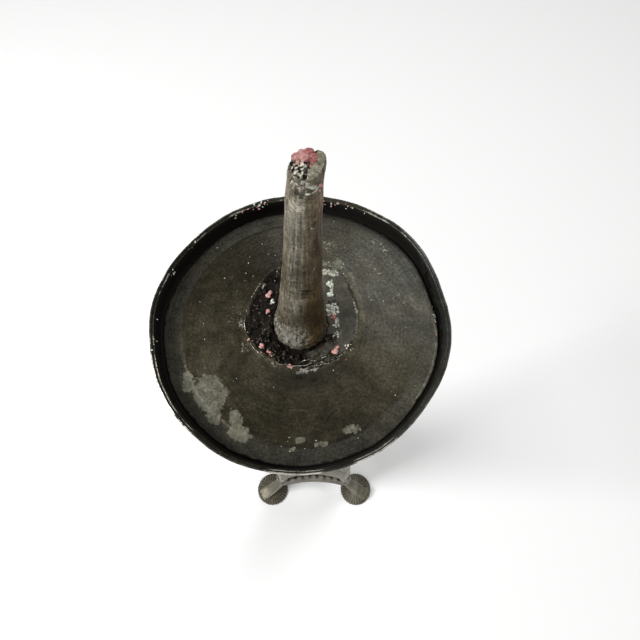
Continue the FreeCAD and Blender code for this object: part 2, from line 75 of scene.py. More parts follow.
def face_out(mesh, merge=0):
    """Joins points closer than merge and turns every face of a closed mesh outwards."""
    work = bmesh.new()
    work.from_mesh(mesh)
    if merge:
        bmesh.ops.remove_doubles(work, verts=work.verts, dist=merge)
    bmesh.ops.recalc_face_normals(work, faces=work.faces)
    work.to_mesh(mesh)
    work.free()


def settle(piece, slot, *nodes):
    """Rides on the frame's one body and stands for its CAD nodes, which it hides; slot is not used.
    """
    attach(piece, "root")
    if nodes:
        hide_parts(*nodes)


def blend(low, high, value):
    """0 below low, 1 above high, smooth between; low may be above high."""
    t = min(max((value - low) / (high - low), 0), 1)
    return t * t * (3 - 2 * t)


def facing(angle, degrees, low, high):
    """blend() of the cosine between an angle and a direction in degrees: 1 towards it."""
    return blend(low, high, math.cos(angle - math.radians(degrees)))


def polar(r, angle, z=0):
    return (r * math.cos(angle), r * math.sin(angle), z)


def rough(place, scale, seed=0.0):
    """Smooth noise in space, about -1 to 1, with features about 1 / scale across."""
    return noise.noise(Vector(place) * scale + Vector((seed * 3.7, seed * 1.9, seed * 5.3)))


def around(angle, seed, lobes=1.0):
    """Smooth noise round a circle that closes on itself."""
    return rough(polar(lobes, angle), 1.0, seed)


def smooth_through(values, t):
    """Catmull-Rom interpolation of a list of equal-length tuples, t from 0 to 1."""
    last = len(values) - 1
    i = min(int(t * last), last - 1)
    f = t * last - i
    p0, p1, p2, p3 = (values[min(max(k, 0), last)] for k in (i - 1, i, i + 1, i + 2))
    return tuple(
        0.5 * (2 * b + (c - a) * f + (2 * a - 5 * b + 4 * c - d) * f * f
               + (3 * b - a - 3 * c + d) * f ** 3)
        for a, b, c, d in zip(p0, p1, p2, p3))


def arc_points(start, end, radius, bulges):
    """Points after start up to end on a minor arc; one that bulges turns anticlockwise."""
    chord = end - start
    half = chord.length / 2
    side = 1 if bulges else -1
    left = Vector((-chord.y, chord.x)).normalized() * side
    centre = (start + end) / 2 + left * math.sqrt(max(radius ** 2 - half ** 2, 0))
    first = math.atan2(start.y - centre.y, start.x - centre.x)
    sweep = 2 * math.asin(min(half / radius, 1)) * side
    count = max(3, int(abs(sweep) * radius / ARC_STEP))
    angles = (first + sweep * i / count for i in range(1, count))
    return [centre + Vector((math.cos(a), math.sin(a))) * radius for a in angles] + [end]


def trace(corners, fillet, step):
    """A closed outline from (across, up) or (across, up, kind, radius) corners in mm. An edge
    with a kind is an arc. Straight runs are divided, and every corner gets a small fillet."""
    places = [Vector(c[:2]) * MM for c in corners]
    line, is_corner = [], []
    for i, corner in enumerate(corners):
        here, there = places[i], places[(i + 1) % len(places)]
        if len(corner) == 4:
            run = arc_points(here, there, corner[3] * MM, corner[2] == "bulge")[:-1]
        else:
            count = int((there - here).length / (step * MM))
            run = [here.lerp(there, k / count) for k in range(1, count)]
        line += [here] + run
        is_corner += [True] + [False] * len(run)
    eased = []
    for i, point in enumerate(line):
        if not is_corner[i]:
            eased.append(point)
            continue
        before, after = line[i - 1] - point, line[(i + 1) % len(line)] - point
        back = point + before.normalized() * min(fillet * MM, before.length * 0.45)
        ahead = point + after.normalized() * min(fillet * MM, after.length * 0.45)
        eased += [back, (back + ahead) / 4 + point / 2, ahead]
    return eased


def ring_faces(rings, count, closed_rings=True):
    """Quads between neighbouring rings of count points each."""
    faces = []
    for s in range(rings if closed_rings else rings - 1):
        a, b = s * count, ((s + 1) % rings) * count
        for i in range(count):
            j = (i + 1) % count
            faces.append((a + i, b + i, b + j, a + j))
    return faces


def lathe(name, outline, base, material, segments, shape, rules):
    """Turns a closed outline round the stem's axis, standing on height base. shape(angle,
    radius, height) may move a point, and rules maps a mask's name to such a function."""
    points, marks = [], []
    for s in range(segments):
        angle = TURN * s / segments
        for p in outline:
            radius, height = shape(angle, p.x, p.y) if shape else (p.x, p.y)
            points.append(polar(radius, angle, base + height))
            marks.append({mark: rule(angle, p.x, p.y) for mark, rule in rules.items()})
    return add_mesh(name, points, ring_faces(segments, len(outline)), material, marks)


# ---------------------------------------------------------------- shader helpers

def rgba(value):
    """A node's colour from a grey level or from red, green and blue."""
    return (*value, 1) if isinstance(value, tuple) else (value, value, value, 1)


class Shader:
    """Short calls for building one material's node tree."""

    def __init__(self, name):
        self.material = bpy.data.materials.new(name)
        self.material.use_nodes = True
        self.tree = self.material.node_tree
        self.surface = self.tree.nodes["Principled BSDF"]
        self.place = self.add("TexCoord").outputs["Object"]

    def add(self, kind, **inputs):
        """A new node, with the named inputs linked to a socket or set to a value."""
        node = self.tree.nodes.new("ShaderNode" + kind)
        for name, value in inputs.items():
            self.put(node.inputs[name], value)
        return node

    def put(self, socket, value):
        if isinstance(value, bpy.types.NodeSocket):
            self.tree.links.new(value, socket)
        else:
            socket.default_value = rgba(value) if socket.type == "RGBA" else value

    def stretch(self, scale):
        return self.add("Mapping", Vector=self.place, Scale=scale).outputs["Vector"]

    def from_axis(self):
        """Places as (distance from the stem's axis, 0, height), for marks left by the lathe."""
        flat = self.maths("MULTIPLY", self.place, (1, 1, 0), kind="VectorMath", output="Vector")
        distance = self.maths("LENGTH", flat, kind="VectorMath")
        wobble = self.maths("MULTIPLY", self.noise(30, 2, 0.5), 1.2 * MM)
        split = self.add("SeparateXYZ", Vector=self.place)
        joined = self.add("CombineXYZ", X=self.maths("ADD", distance, wobble),
                          Z=split.outputs["Z"])
        return joined.outputs["Vector"]

    def scratches(self, turn, density):
        """1 on sparse thin scratches that run one way, 0 elsewhere."""
        swung = self.add("Mapping", Vector=self.place, Rotation=(0.3, 0.2, turn))
        drawn = self.add("Mapping", Vector=swung.outputs["Vector"], Scale=(1.0, 0.07, 0.3))
        lines = self.noise(1100, 2, 0.5, 0.3, drawn.outputs["Vector"])
        return self.ramp(lines, (density, 0), (density + 0.06, 1))

    def noise(self, scale, detail, roughness, distortion=0.0, place=None):
        node = self.add("TexNoise", Scale=scale, Detail=detail, Roughness=roughness,
                        Distortion=distortion, Vector=place or self.place)
        return node.outputs["Fac"]

    def mask(self, name):
        node = self.add("Attribute")
        node.attribute_name = name
        return node.outputs["Fac"]

    def maths(self, operation, *values, kind="Math", output="Value"):
        node = self.add(kind)
        node.operation = operation
        for socket, value in zip(node.inputs, values):
            self.put(socket, value)
        return node.outputs[output]

    def ramp(self, factor, *stops):
        """A colour ramp; a stop is a position with a grey level or a colour."""
        node = self.add("ValToRGB", Fac=factor)
        elements = node.color_ramp.elements
        elements[0].position, elements[1].position = stops[0][0], stops[-1][0]
        for position, _ in stops[1:-1]:
            elements.new(position)
        for element, (_, colour) in zip(elements, stops):
            element.color = rgba(colour)
        return node.outputs["Color"]

    def ragged(self, mask, grain, spread, low, high):
        """A smooth mask given a ragged, fairly sharp edge by a noise."""
        shifted = self.maths("MULTIPLY_ADD", grain, spread, mask)
        return self.ramp(shifted, (low + spread / 2, 0), (high + spread / 2, 1))

    def mix(self, factor, first, second, kind="MIX"):
        node = self.add("Mix")
        node.data_type, node.blend_type = "RGBA", kind
        for index, value in ((0, factor), (6, first), (7, second)):
            self.put(node.inputs[index], value)
        return node.outputs[2]

    def shade(self, colour, tone, factor=1.0):
        return self.mix(factor, colour, tone, "MULTIPLY")

    def bump(self, height, strength, depth, under=None):
        node = self.add("Bump", Strength=strength, Distance=depth, Height=height)
        if under:
            self.put(node.inputs["Normal"], under)
        return node.outputs["Normal"]

    def finish(self, colour, roughness, normal, metallic):
        inputs = {"Base Color": colour, "Roughness": roughness, "Normal": normal,
                  "Metallic": metallic}
        for name, value in inputs.items():
            self.put(self.surface.inputs[name], value)
        return self.material


# ---------------------------------------------------------------- materials

RUBBED_AND_HIGHLIGHT_PEWTER = (0.46, 0.45, 0.41)
SCRATCHED_PEWTER = (0.22, 0.215, 0.18)
BARE_PEWTER_AND_SHEEN = (0.058, 0.062, 0.060)
DIRT_AND_SHADE = (0.009, 0.008, 0.007)
BROWN_TINT_AND_SHADE = (0.62, 0.46, 0.27)


def pewter_material(name, tones, metallic, roughness, turning=0.0, brush=None, mottling=1.0,
                    scratched=0.30):
    """Aged pewter in a dark, a middle and a light tone. Masks: the rubbed-bright mask is real
    wear and also painted highlights; the dark mask is dirt and char and also painted shade
    and a painted dark reflection; oxide is pale bloom; the bare-grey mask is bare grey metal
    and also a painted lighter reflection; and the brown mask is a brown tint, partly painted
    shade, that only brushed metal shows. turning is the strength of the lathe's marks, and
    brush stretches the streaks of brushed metal."""
    s = Shader(name)
    dark, mid, light = tones
    broad, fine = s.noise(24, 5, 0.62, 0.8), s.noise(170, 7, 0.68)
    grain, speck = s.noise(820, 4, 0.7), s.noise(1700, 2, 0.5)
    colour = s.ramp(broad, (0.34, dark), (0.52, mid), (0.70, light))
    # The bare-grey mask: bare grey metal, and on the pan's far right and right wall a painted lighter
    # reflection.
    colour = s.mix(s.maths("MULTIPLY", s.mask("bare_and_sheen"), 0.75), colour, BARE_PEWTER_AND_SHEEN)
    colour = s.shade(colour, s.ramp(fine, (0.30, 0.72), (0.52, 1.0), (0.74, 1.32)))
    colour = s.shade(colour, s.ramp(grain, (0.32, 1 - 0.34 * mottling), (0.50, 1.0),
                                    (0.68, 1 + 0.45 * mottling)))
    colour = s.shade(colour, s.ramp(speck, (0.28, 0.35), (0.40, 1.0)), 0.8)
    gloss = s.ramp(fine, (0.30, roughness - 0.08), (0.72, roughness + 0.14))
    normal = s.bump(broad, 0.30, 1.4 * MM)
    normal = s.bump(fine, 0.24, 0.35 * MM, normal)
    normal = s.bump(grain, 0.30, 0.12 * MM, normal)
    if turning:
        rings = s.noise(900, 3, 0.6, 0.0, s.from_axis())
        colour = s.shade(colour, s.ramp(rings, (0.36, 1 - 0.4 * turning),
                                        (0.64, 1 + 0.5 * turning)))
        normal = s.bump(rings, 0.35 * turning, 0.15 * MM, normal)
    if brush:
        # The brown mask: a brown tint, which on the pricket's right side is also painted shade.
        colour = s.shade(colour, BROWN_TINT_AND_SHADE, s.mask("brown_and_shade"))
        streaks = s.noise(900, 6, 0.8, 0.2, s.stretch(brush))
        weave = s.noise(1300, 3, 0.65, 0.4, s.stretch((0.25, 0.25, 1.0)))
        colour = s.shade(colour, s.ramp(streaks, (0.36, 0.45), (0.5, 1.0), (0.64, 1.8)))
        colour = s.shade(colour, s.ramp(weave, (0.36, 0.62), (0.64, 1.42)))
        normal = s.bump(streaks, 0.8, 0.35 * MM, normal)
        normal = s.bump(weave, 0.45, 0.20 * MM, normal)
    for turn in (0.7, 1.9, 2.8):
        cut = s.maths("MULTIPLY", s.scratches(turn, 0.69), scratched)
        colour = s.mix(cut, colour, SCRATCHED_PEWTER)
    # The rubbed-bright mask: real wear, and also painted highlights and glints on the rim, the torn
    # strips, the pricket's lit left side and its broken tip.
    bright = s.ragged(s.mask("wear_and_highlight"), s.mix(0.6, fine, grain), 1.1, 0.25, 0.8)
    colour, gloss = s.mix(bright, colour, RUBBED_AND_HIGHLIGHT_PEWTER), s.mix(bright, gloss, 0.30)
    # The dark mask: real dirt and char, and also painted shade in creases, under the torn strips, at
    # the pricket's foot and in the aprons' slots, and a painted dark reflection on the pan's wall.
    darkening = s.ragged(s.mask("dirt_and_shade"), fine, 0.8, 0.2, 0.9)
    colour, gloss = s.mix(darkening, colour, DIRT_AND_SHADE), s.mix(darkening, gloss, 0.62)
    cloud = s.noise(420, 6, 0.78)
    bloom = s.ragged(s.mask("oxide"), cloud, 0.9, 0.40, 0.62)
    bloom = s.shade(bloom, s.ramp(grain, (0.35, 0.35), (0.62, 0.85)))
    colour = s.mix(bloom, colour, s.ramp(cloud, (0.4, (0.10, 0.10, 0.076)),
                                         (0.62, (0.25, 0.25, 0.20))))
    gloss = s.mix(bloom, gloss, 0.8)
    s.put(s.surface.inputs["Specular IOR Level"], s.mix(darkening, 0.25, 0.03))
    return s.finish(colour, gloss, normal, s.mix(darkening, metallic, 0))


def crust_material():
    """The zone round the pricket: a scraped grey-olive plate, black where its dark mask is 1 (burnt,
    and in the groove at the pricket's foot painted shade) and chalky where oxide is 1."""
    s = Shader("burnt_crust")
    grain = s.noise(300, 8, 0.78, 0.6)
    clumps = s.noise(120, 6, 0.7, 1.2)
    flecks = s.noise(900, 3, 0.6)
    plate = s.ramp(clumps, (0.32, (0.016, 0.0145, 0.010)), (0.50, (0.040, 0.0375, 0.027)),
                   (0.68, (0.074, 0.071, 0.054)))
    plate = s.shade(plate, s.ramp(grain, (0.3, 0.6), (0.7, 1.5)))
    cut = s.maths("MULTIPLY", s.scratches(0.9, 0.66), 0.25)
    plate = s.mix(cut, plate, (0.24, 0.24, 0.20))
    burnt = s.ramp(grain, (0.42, (0.002, 0.0015, 0.001)), (0.56, (0.009, 0.007, 0.005)),
                   (0.70, (0.075, 0.054, 0.036)))
    burnt = s.mix(s.ramp(flecks, (0.64, 0), (0.70, 0.85)), burnt, (0.17, 0.12, 0.085))
    burn = s.ragged(s.mask("char_and_shade"), clumps, 0.6, 0.3, 0.7)
    pale = s.ragged(s.mask("oxide"), grain, 1.0, 0.42, 0.7)
    chalk = s.ramp(flecks, (0.38, (0.07, 0.072, 0.055)), (0.62, (0.42, 0.43, 0.37)))
    colour = s.mix(pale, s.mix(burn, plate, burnt), chalk)
    gloss = s.mix(burn, 0.48, s.ramp(clumps, (0.4, 0.55), (0.6, 0.95)))
    s.put(s.surface.inputs["Specular IOR Level"], s.mix(burn, 0.3, 0.10))
    normal = s.bump(grain, 0.6, 0.6 * MM, s.bump(clumps, 0.6, 1.0 * MM))
    return s.finish(colour, gloss, normal, 0.0)


def wax_material(name, deep, pale):
    s = Shader(name)
    s.put(s.surface.inputs["Subsurface Weight"], 0.25)
    s.put(s.surface.inputs["Subsurface Scale"], 0.002)
    colour = s.ramp(s.noise(300, 5, 0.65, 0.5), (0.35, deep), (0.65, pale))
    return s.finish(colour, 0.48, s.bump(s.noise(700, 4, 0.6), 0.25, 0.25 * MM), 0.0)


def iron_material():
    s = Shader("dark_iron")
    scale = s.noise(240, 8, 0.72, 0.4)
    rust = s.noise(60, 6, 0.7, 1.0)
    colour = s.ramp(scale, (0.3, (0.015, 0.014, 0.013)), (0.7, (0.07, 0.065, 0.06)))
    colour = s.mix(s.ramp(rust, (0.52, 0), (0.66, 0.8)), colour, (0.11, 0.045, 0.022))
    gloss = s.ramp(rust, (0.4, 0.45), (0.65, 0.85))
    return s.finish(colour, gloss, s.bump(scale, 0.5, 0.4 * MM), 0.8)


# ---------------------------------------------------------------- camera, light and stage

PHONE_LENS = 28.125
LOOK_DOWN = 68.2                                # degrees
CAMERA_PLACE = Vector((0.136, -1.243, 3.098))   # in rim radii from the rim's centre
WARM_LIGHT = (1.0, 0.985, 0.95)
FLOOR_HALF = 6.0
# Soft lamps: name, place, the height on the stem that it points at, size and power.
LAMPS = (("window", (-1.7, -0.3, 2.0), 0.6, 0.9, 58),
         ("sky", (0.75, 1.15, 2.5), 0.6, 0.9, 24),
         ("front", (0.5, -2.2, 1.1), 0.3, 1.4, 14))


def make_camera():
    """Looks down on the pan from high in front, as the photographer did."""
    low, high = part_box("drip_pan")
    data = bpy.data.cameras.new("camera")
    data.lens = PHONE_LENS
    data.clip_start = 0.01
    camera = bpy.data.objects.new("camera", data)
    camera.location = Vector((0, 0, high.z)) + CAMERA_PLACE * ((high.x - low.x) / 2)
    camera.rotation_euler = (math.radians(90 - LOOK_DOWN), 0, 0)
    bpy.context.scene.collection.objects.link(camera)
    bpy.context.scene.camera = camera


def make_lamp(name, place, target_height, size, power):
    data = bpy.data.lights.new(name, "AREA")
    data.size = size
    data.energy = power
    data.color = WARM_LIGHT
    lamp = bpy.data.objects.new(name, data)
    lamp.location = place
    aim = Vector((0, 0, target_height)) - Vector(place)
    lamp.rotation_euler = aim.to_track_quat("-Z", "Y").to_euler()
    bpy.context.scene.collection.objects.link(lamp)


def make_floor():
    s = Shader("floor_paper")
    s.put(s.surface.inputs["Base Color"], (0.84, 0.855, 0.88))
    s.put(s.surface.inputs["Roughness"], 0.95)
    corners = [(FLOOR_HALF * x, FLOOR_HALF * y, 0)
               for x, y in ((-1, -1), (1, -1), (1, 1), (-1, 1))]
    add_mesh("floor", corners, [(0, 1, 2, 3)], s.material)


def make_stage():
    bpy.context.scene.view_settings.view_transform = "Standard"
    world = bpy.data.worlds.new("soft_room")
    world.use_nodes = True
    background = world.node_tree.nodes["Background"]
    background.inputs["Color"].default_value = (1.0, 0.985, 0.955, 1)
    background.inputs["Strength"].default_value = 0.34
    bpy.context.scene.world = world
    make_floor()
    for lamp in LAMPS:
        make_lamp(*lamp)


# ---------------------------------------------------------------- drip pan

# The worn zone round the pricket's foot: its edge as (degrees, mm from the axis).
ZONE_EDGE = ((-180, 26.5), (-164, 25), (-136, 21), (-110, 20.5), (-83, 21), (-55, 23),
             (-28, 25.5), (7, 28.2), (38, 31.5), (60, 36.5), (91, 35), (116, 33.5),
             (138, 28.9), (160, 27), (180, 26.5))
# Marks are (across, back, half length, half width, turn in degrees, strength), in mm.
STAINS = ((-41, -33, 9.0, 7.2, 115, 1), (-51.5, -28, 5.0, 2.4, 100, 1),
          (-38.5, -43, 5.0, 2.6, 110, 1), (-28.5, -46, 5.6, 3.0, 105, 1),
          (-26, -51, 5.6, 3.4, 165, 1), (23.8, -49.6, 4.2, 2.0, 10, 1),
          (1, -54, 2.4, 1.2, 0, 1), (10, -56, 3.8, 1.0, 5, 1), (-3, -58, 1.6, 0.9, 20, 1),
          (58, 9, 2.2, 1.1, 80, 1), (12, 34, 5.5, 1.7, 168, 0.8), (19.5, 34, 3.4, 1.9, 150, 0.8),
          (25.5, 27, 5.5, 1.0, 118, 0.65), (30, 13, 5.5, 0.8, 100, 0.55))
RUBBED = ((-29.5, 1, 7.5, 2.6, 97, 0.28), (-34.0, 6, 9.0, 6.0, 90, 0.18),
          (-26.0, -11, 4.6, 2.0, 120, 0.24), (4, -22.0, 6.0, 1.3, 8, 0.5),
          (-12, -19.5, 3.6, 1.2, 155, 0.32), (-50, 40, 6.0, 4.0, 130, 0.16),
          (40, 44, 7.0, 4.0, 120, 0.18), (45, -30, 9.0, 5.0, 60, 0.15),
          (46, 12, 5.0, 2.5, 100, 0.2))
# Pale broken lines and smears on the zone.
ZONE_MARKS = ((22, 28, 4.0, 0.6, 130, 0.9), (26.5, 12, 7.0, 0.5, 98, 0.7),
              (19, -4, 2.2, 0.5, 60, 1), (14, 29, 6.0, 1.8, 170, 0.75),
              (15.4, 9, 3.4, 2.6, 80, 0.75), (15, 21, 4.5, 1.2, 92, 0.7),
              (18, 2, 3.0, 0.8, 100, 0.7), (23, -11, 2.6, 0.6, 40, 0.9),
              (-19, 22, 2.0, 1.0, 40, 0.7), (2, -20.5, 5.0, 0.5, 8, 0.8),
              (-13, -13, 5.0, 3.2, 140, 0.40), (-18, -3, 5.0, 2.6, 80, 0.34),
              (9, -18, 6.0, 1.4, 12, 0.40))
# Pale arcs left by turning and wiping: (radius, half width, middle angle, strength).
ARCS = ((48, 1.4, 55, 0.22), (44, 0.9, 62, 0.18), (51.5, 0.8, 48, 0.16), (53, 0.7, 172, 0.16),
        (39, 0.8, 75, 0.14))
# Where the rim has been bent out or in: (degrees, half width in degrees, mm).
RIM_BENDS = ((42, 34, 1.5), (135, 40, -0.7), (172, 18, 0.5), (352, 26, 0.8), (318, 24, -0.6))
# The pan's box in metres, and its sizes in mm.
PAN_LOW, PAN_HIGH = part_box("drip_pan")
PAN_RADIUS, PAN_HEIGHT = (PAN_HIGH.x - PAN_LOW.x) / 2 / MM, (PAN_HIGH.z - PAN_LOW.z) / MM
HOLE = 4.6                      # radius of the rod's hole through the pan and every casting
PAN_FLOOR = 3.0                 # height of the pan's floor over its underside
FLOOR_STEP = 57                 # radius of the low step in the floor
WALL_FOOT = PAN_RADIUS - 3.4    # radius where the wall meets the floor
# In metres: what lies above FLOOR_LEVEL is the pan's upper side, and inside WALL_START its floor.
FLOOR_LEVEL, WALL_START = (PAN_FLOOR - 0.7) * MM, (WALL_FOOT - 1) * MM
FLOOR_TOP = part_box("pricket_flange")[0].z   # the floor's height over the table


def rim_bend(angle):
    total = 0
    for middle, half_width, offset in RIM_BENDS:
        away = abs((math.degrees(angle) - middle + 180) % 360 - 180)
        total += offset * blend(half_width, 0, away)
    return total


def zone_radius(angle):
    """The worn zone's reach at an angle, with a fine ragged edge."""
    degrees = (math.degrees(angle) + 180) % 360 - 180
    for (a, near), (b, far) in zip(ZONE_EDGE, ZONE_EDGE[1:]):
        if degrees <= b:
            reach = near + (far - near) * (degrees - a) / (b - a)
            return (reach + 1.1 * around(angle, 3, 5) + 0.7 * around(angle, 4, 14)) * MM


def burnt_side(angle):
    """1 on the left and near side of the pricket, where the zone is torn and sunk."""
    return facing(angle, 33, 0.55, 0.25)


def charred_side(angle):
    """1 on the left of the pricket, where the torn zone is burnt black."""
    return facing(angle, 195, -0.15, 0.35)


def smooth_side(angle):
    """1 on the right of the pan, where the step in its floor is hammered flat."""
    return facing(angle, 8, 0.1, 0.6)


def spot(x, y, marks):
    """How strongly the marks cover a place: a mark's strength inside it, fading to 0 outside."""
    best = 0
    warp_x = 0.9 * rough((x, y, 0), 0.40, 71) + 0.7 * rough((x, y, 0), 1.1, 72)
    warp_y = 0.9 * rough((x, y, 0), 0.40, 73) + 0.7 * rough((x, y, 0), 1.1, 74)
    for across, up, half_length, half_width, turn, strength in marks:
        t = math.radians(turn)
        sway = min(half_width, 1.8)
        dx, dy = x - across + warp_x * sway, y - up + warp_y * sway
        along = (dx * math.cos(t) + dy * math.sin(t)) / half_length
        side = (dy * math.cos(t) - dx * math.sin(t)) / half_width
        best = max(best, strength * blend(1.55, 0.45, math.hypot(along, side)))
    return best


def pan_outline():
    """The pan's section in mm: underside, wall, rolled rim, and floor with its step."""
    r, h, foot, floor = PAN_RADIUS, PAN_HEIGHT, WALL_FOOT, PAN_FLOOR
    return trace([
        (HOLE, 0), (r - 4, 0), (r - 2.2, 0.8), (r - 1.2, 3), (r - 0.7, h - 2), (r - 0.1, h - 1.0),
        (r - 0.15, h - 0.3), (r - 0.45, h), (r - 0.8, h), (r - 1.2, h - 0.5), (r - 1.5, h - 1.4),
        (r - 1.9, h - 1.6), (r - 2.6, h - 4), (foot + 0.7, floor + 0.4), (foot + 0.3, floor - 1.2),
        (foot - 0.6, floor - 1.2), (foot - 1.2, floor - 0.3), (57.8, floor - 0.3), (56.6, floor),
        (HOLE, floor)], 0.15, 1.0)


def pan_bent(angle, r, h):
    """Hand-raised sheet: the outline wanders, the floor has shallow dents, and the burnt zone
    is sunk."""
    outer = blend(0.5, 1, r / (PAN_RADIUS * MM))
    r_new = r + outer * (rim_bend(angle) + 0.4 * around(angle, 1, 1.3)
                         + 0.45 * around(angle, 2, 4) + 0.18 * around(angle, 20, 15)) * MM
    rim = blend(WALL_START, PAN_RADIUS * MM, r)
    h_new = h + rim * (0.35 * around(angle, 5, 2) - 0.25) * MM
    if h > FLOOR_LEVEL and r < WALL_START:
        place = polar(r, angle)
        h_new += (0.28 * rough(place, 45, 6) + 0.12 * rough(place, 130, 7)) * MM
        h_new += 0.3 * MM * smooth_side(angle) * blend(56.7, 57.7, r / MM)
        past_edge = r - zone_radius(angle)
        lip = blend(2.4 * MM, 0.3 * MM, abs(past_edge - 0.4 * MM))
        h_new += 0.55 * MM * lip * (0.6 + 0.8 * around(angle, 16, 4))
        h_new -= 1.5 * MM * blend(0, -1.6 * MM, past_edge) * burnt_side(angle)
    return min(r_new, (PAN_RADIUS + 1.6 * blend(-0.6, 0, math.sin(angle))) * MM), h_new


def rim_highlights(angle, reach):
    """Broken painted highlights along the rim's outer and inner edge."""
    patchy = blend(-0.7, 0.5, around(angle, 8, 9) + 0.4 * around(angle, 12, 30))
    patchy *= 1 - 0.75 * facing(angle, -2.865, 0.60, 0.92)
    outer_line = 0.52 * blend(PAN_RADIUS - 0.95, PAN_RADIUS - 0.55, reach)
    inner_line = 0.46 * blend(0.5, 0.1, abs(reach - (PAN_RADIUS - 1.55)))
    return max(outer_line, inner_line) * patchy


def pan_wear_and_highlight(angle, r, h):
    reach = r / MM
    if h > (PAN_HEIGHT - 2) * MM:
        return rim_highlights(angle, reach)
    if h < FLOOR_LEVEL:
        return 0
    step = 0.22 * blend(1.6, 0.2, abs(reach - FLOOR_STEP)) * (0.5 + 0.9 * around(angle, 18, 2))
    arcs = (strength * blend(2.2, 0.3, abs(reach - at) / width) * facing(angle, middle, 0.72, 0.98)
            for at, width, middle, strength in ARCS)
    return max(step * (1 - smooth_side(angle)), spot(*polar(reach, angle)[:2], RUBBED), *arcs)


def pan_dirt_and_shade(angle, r, h):
    """Darkening: a painted dark reflection on the inner wall, painted shade in the crease at the
    wall's foot and along the floor beside it, a darker patch in front of the pricket, the charred
    zone, and a darker underside.
    """
    reach, rise = r / MM, h / MM
    if rise < PAN_FLOOR - 2:
        return 0.25
    # Painted dark reflection on the wall's inner face: darkest at the back left, faint at the front
    # right.
    dark_wall_reflection = (blend(WALL_FOOT - 0.6, WALL_FOOT + 0.4, reach)
            * blend(PAN_HEIGHT - 1.2, PAN_HEIGHT - 2.6, rise))
    dark_wall_reflection *= 0.06 + 0.94 * facing(angle, 120, -0.75, 0.55)
    # Painted shade in the crease where the floor meets the wall, of varying width.
    gap = 1.4 - 0.3 * smooth_side(angle) + 0.6 * around(angle, 17, 2.5)
    gap += 0.6 * around(angle, 58, 24)
    crease_shade = blend(gap, gap - 0.4, abs(reach - WALL_FOOT + 0.1)) * blend(6.5, 4.0, rise)
    # Painted shade along the floor beside the wall.
    ring = 0.30 * blend(62, 66, reach) * blend(5, 4, rise)
    # A darker patch on the floor in front of the pricket.
    darker_front_patch = 0.50 * blend(13, 0, abs(reach - 27)) * facing(angle, -83.08, 0.5, 1.0)
    zone = 1.2 * blend(0, -2.0 * MM, r - zone_radius(angle)) * charred_side(angle)
    return max(dark_wall_reflection, crease_shade, ring, darker_front_patch, zone)


def pan_bare_and_sheen(angle, r, h):
    """Bare grey metal on the ring outside the step; the same lighter grey on the far right of the
    floor and on the right wall is a painted reflection.
    """
    reach = r / MM
    outer_ring = 0.40 * blend(56.5, 58.5, reach)
    far_right_sheen = 0.6 * facing(angle, 48, 0.1, 0.9) * blend(24, 40, reach)
    right_wall_reflection = blend(WALL_FOOT - 0.2, WALL_FOOT + 0.8, reach) * facing(angle, 350, 0.2, 0.8)
    return max(outer_ring, far_right_sheen, right_wall_reflection) * (0.8 + 0.5 * around(angle, 19, 3))


def pan_oxide(angle, r, h):
    """The pale stains on the floor, the zone's pale edge and a wax line at the right."""
    if h < FLOOR_LEVEL:
        return 0
    reach = r / MM
    wax_line = (0.62 * facing(angle, -8, 0.75, 0.98)
                * blend(1.3, 0.2, abs(reach - WALL_FOOT + 2.0)))
    if reach > WALL_FOOT - 0.8:
        return wax_line
    edge = blend(1.8, 0.2, abs((r - zone_radius(angle)) / MM)) * 0.52
    edge *= 0.6 + 0.8 * abs(around(angle, 9, 4))
    return max(spot(*polar(reach, angle)[:2], STAINS), edge, wax_line)


def make_drip_pan(material):
    pan = lathe("drip_pan_skin", pan_outline(), PAN_LOW.z, material, 384, pan_bent,
                {"wear_and_highlight": pan_wear_and_highlight, "dirt_and_shade": pan_dirt_and_shade, "bare_and_sheen": pan_bare_and_sheen, "oxide": pan_oxide})
    settle(pan, "pan_pewter", "drip_pan")


CRUST_INSIDE = 9.5 * MM


def crust_point(angle, t, reach):
    """The zone's (distance, height in mm) and masks at a share t from the pricket to the edge."""
    burnt = burnt_side(angle)
    gap = 13.0 + 1.3 * around(angle, 47, 5)
    r = CRUST_INSIDE + (reach - CRUST_INSIDE) * t
    place = polar(r, angle)
    ridges = 0.5 - abs(rough(place, 170, 11)) * 2
    lumps = (1.3 * ridges + 1.0 * rough(place, 420, 12) + 1.0 * rough(place, 80, 13)
             + 0.7 * rough(place, 900, 10))
    torn = -0.9 + lumps * blend(0, 0.12, t)
    plate = 0.60 + 0.22 * rough(place, 120, 14) + 0.10 * rough(place, 500, 27)
    height = plate + (torn - plate) * burnt - 1.3 * blend(gap + 0.7, gap - 0.7, r / MM)
    height *= blend(1.0, 0.93, t) if burnt < 0.5 else 1
    dark_patch = 0.8 * blend(0.15, 0.55, rough(place, 150, 28)) * blend(0.75, 0.4, t)
    char = burnt * (0.40 + 0.60 * charred_side(angle))
    outline = blend(0.90, 0.99, t) * (0.5 + 0.5 * abs(around(angle, 15, 5)))
    # In the groove round the pricket's foot the zone is painted black as shade; elsewhere the black
    # is char.
    return r, height, {
        "char_and_shade": max(char, blend(gap + 1.0, gap - 0.2, r / MM), dark_patch),
        "oxide": max(outline * (1 - 0.6 * burnt), spot(place[0] / MM, place[1] / MM, ZONE_MARKS))}


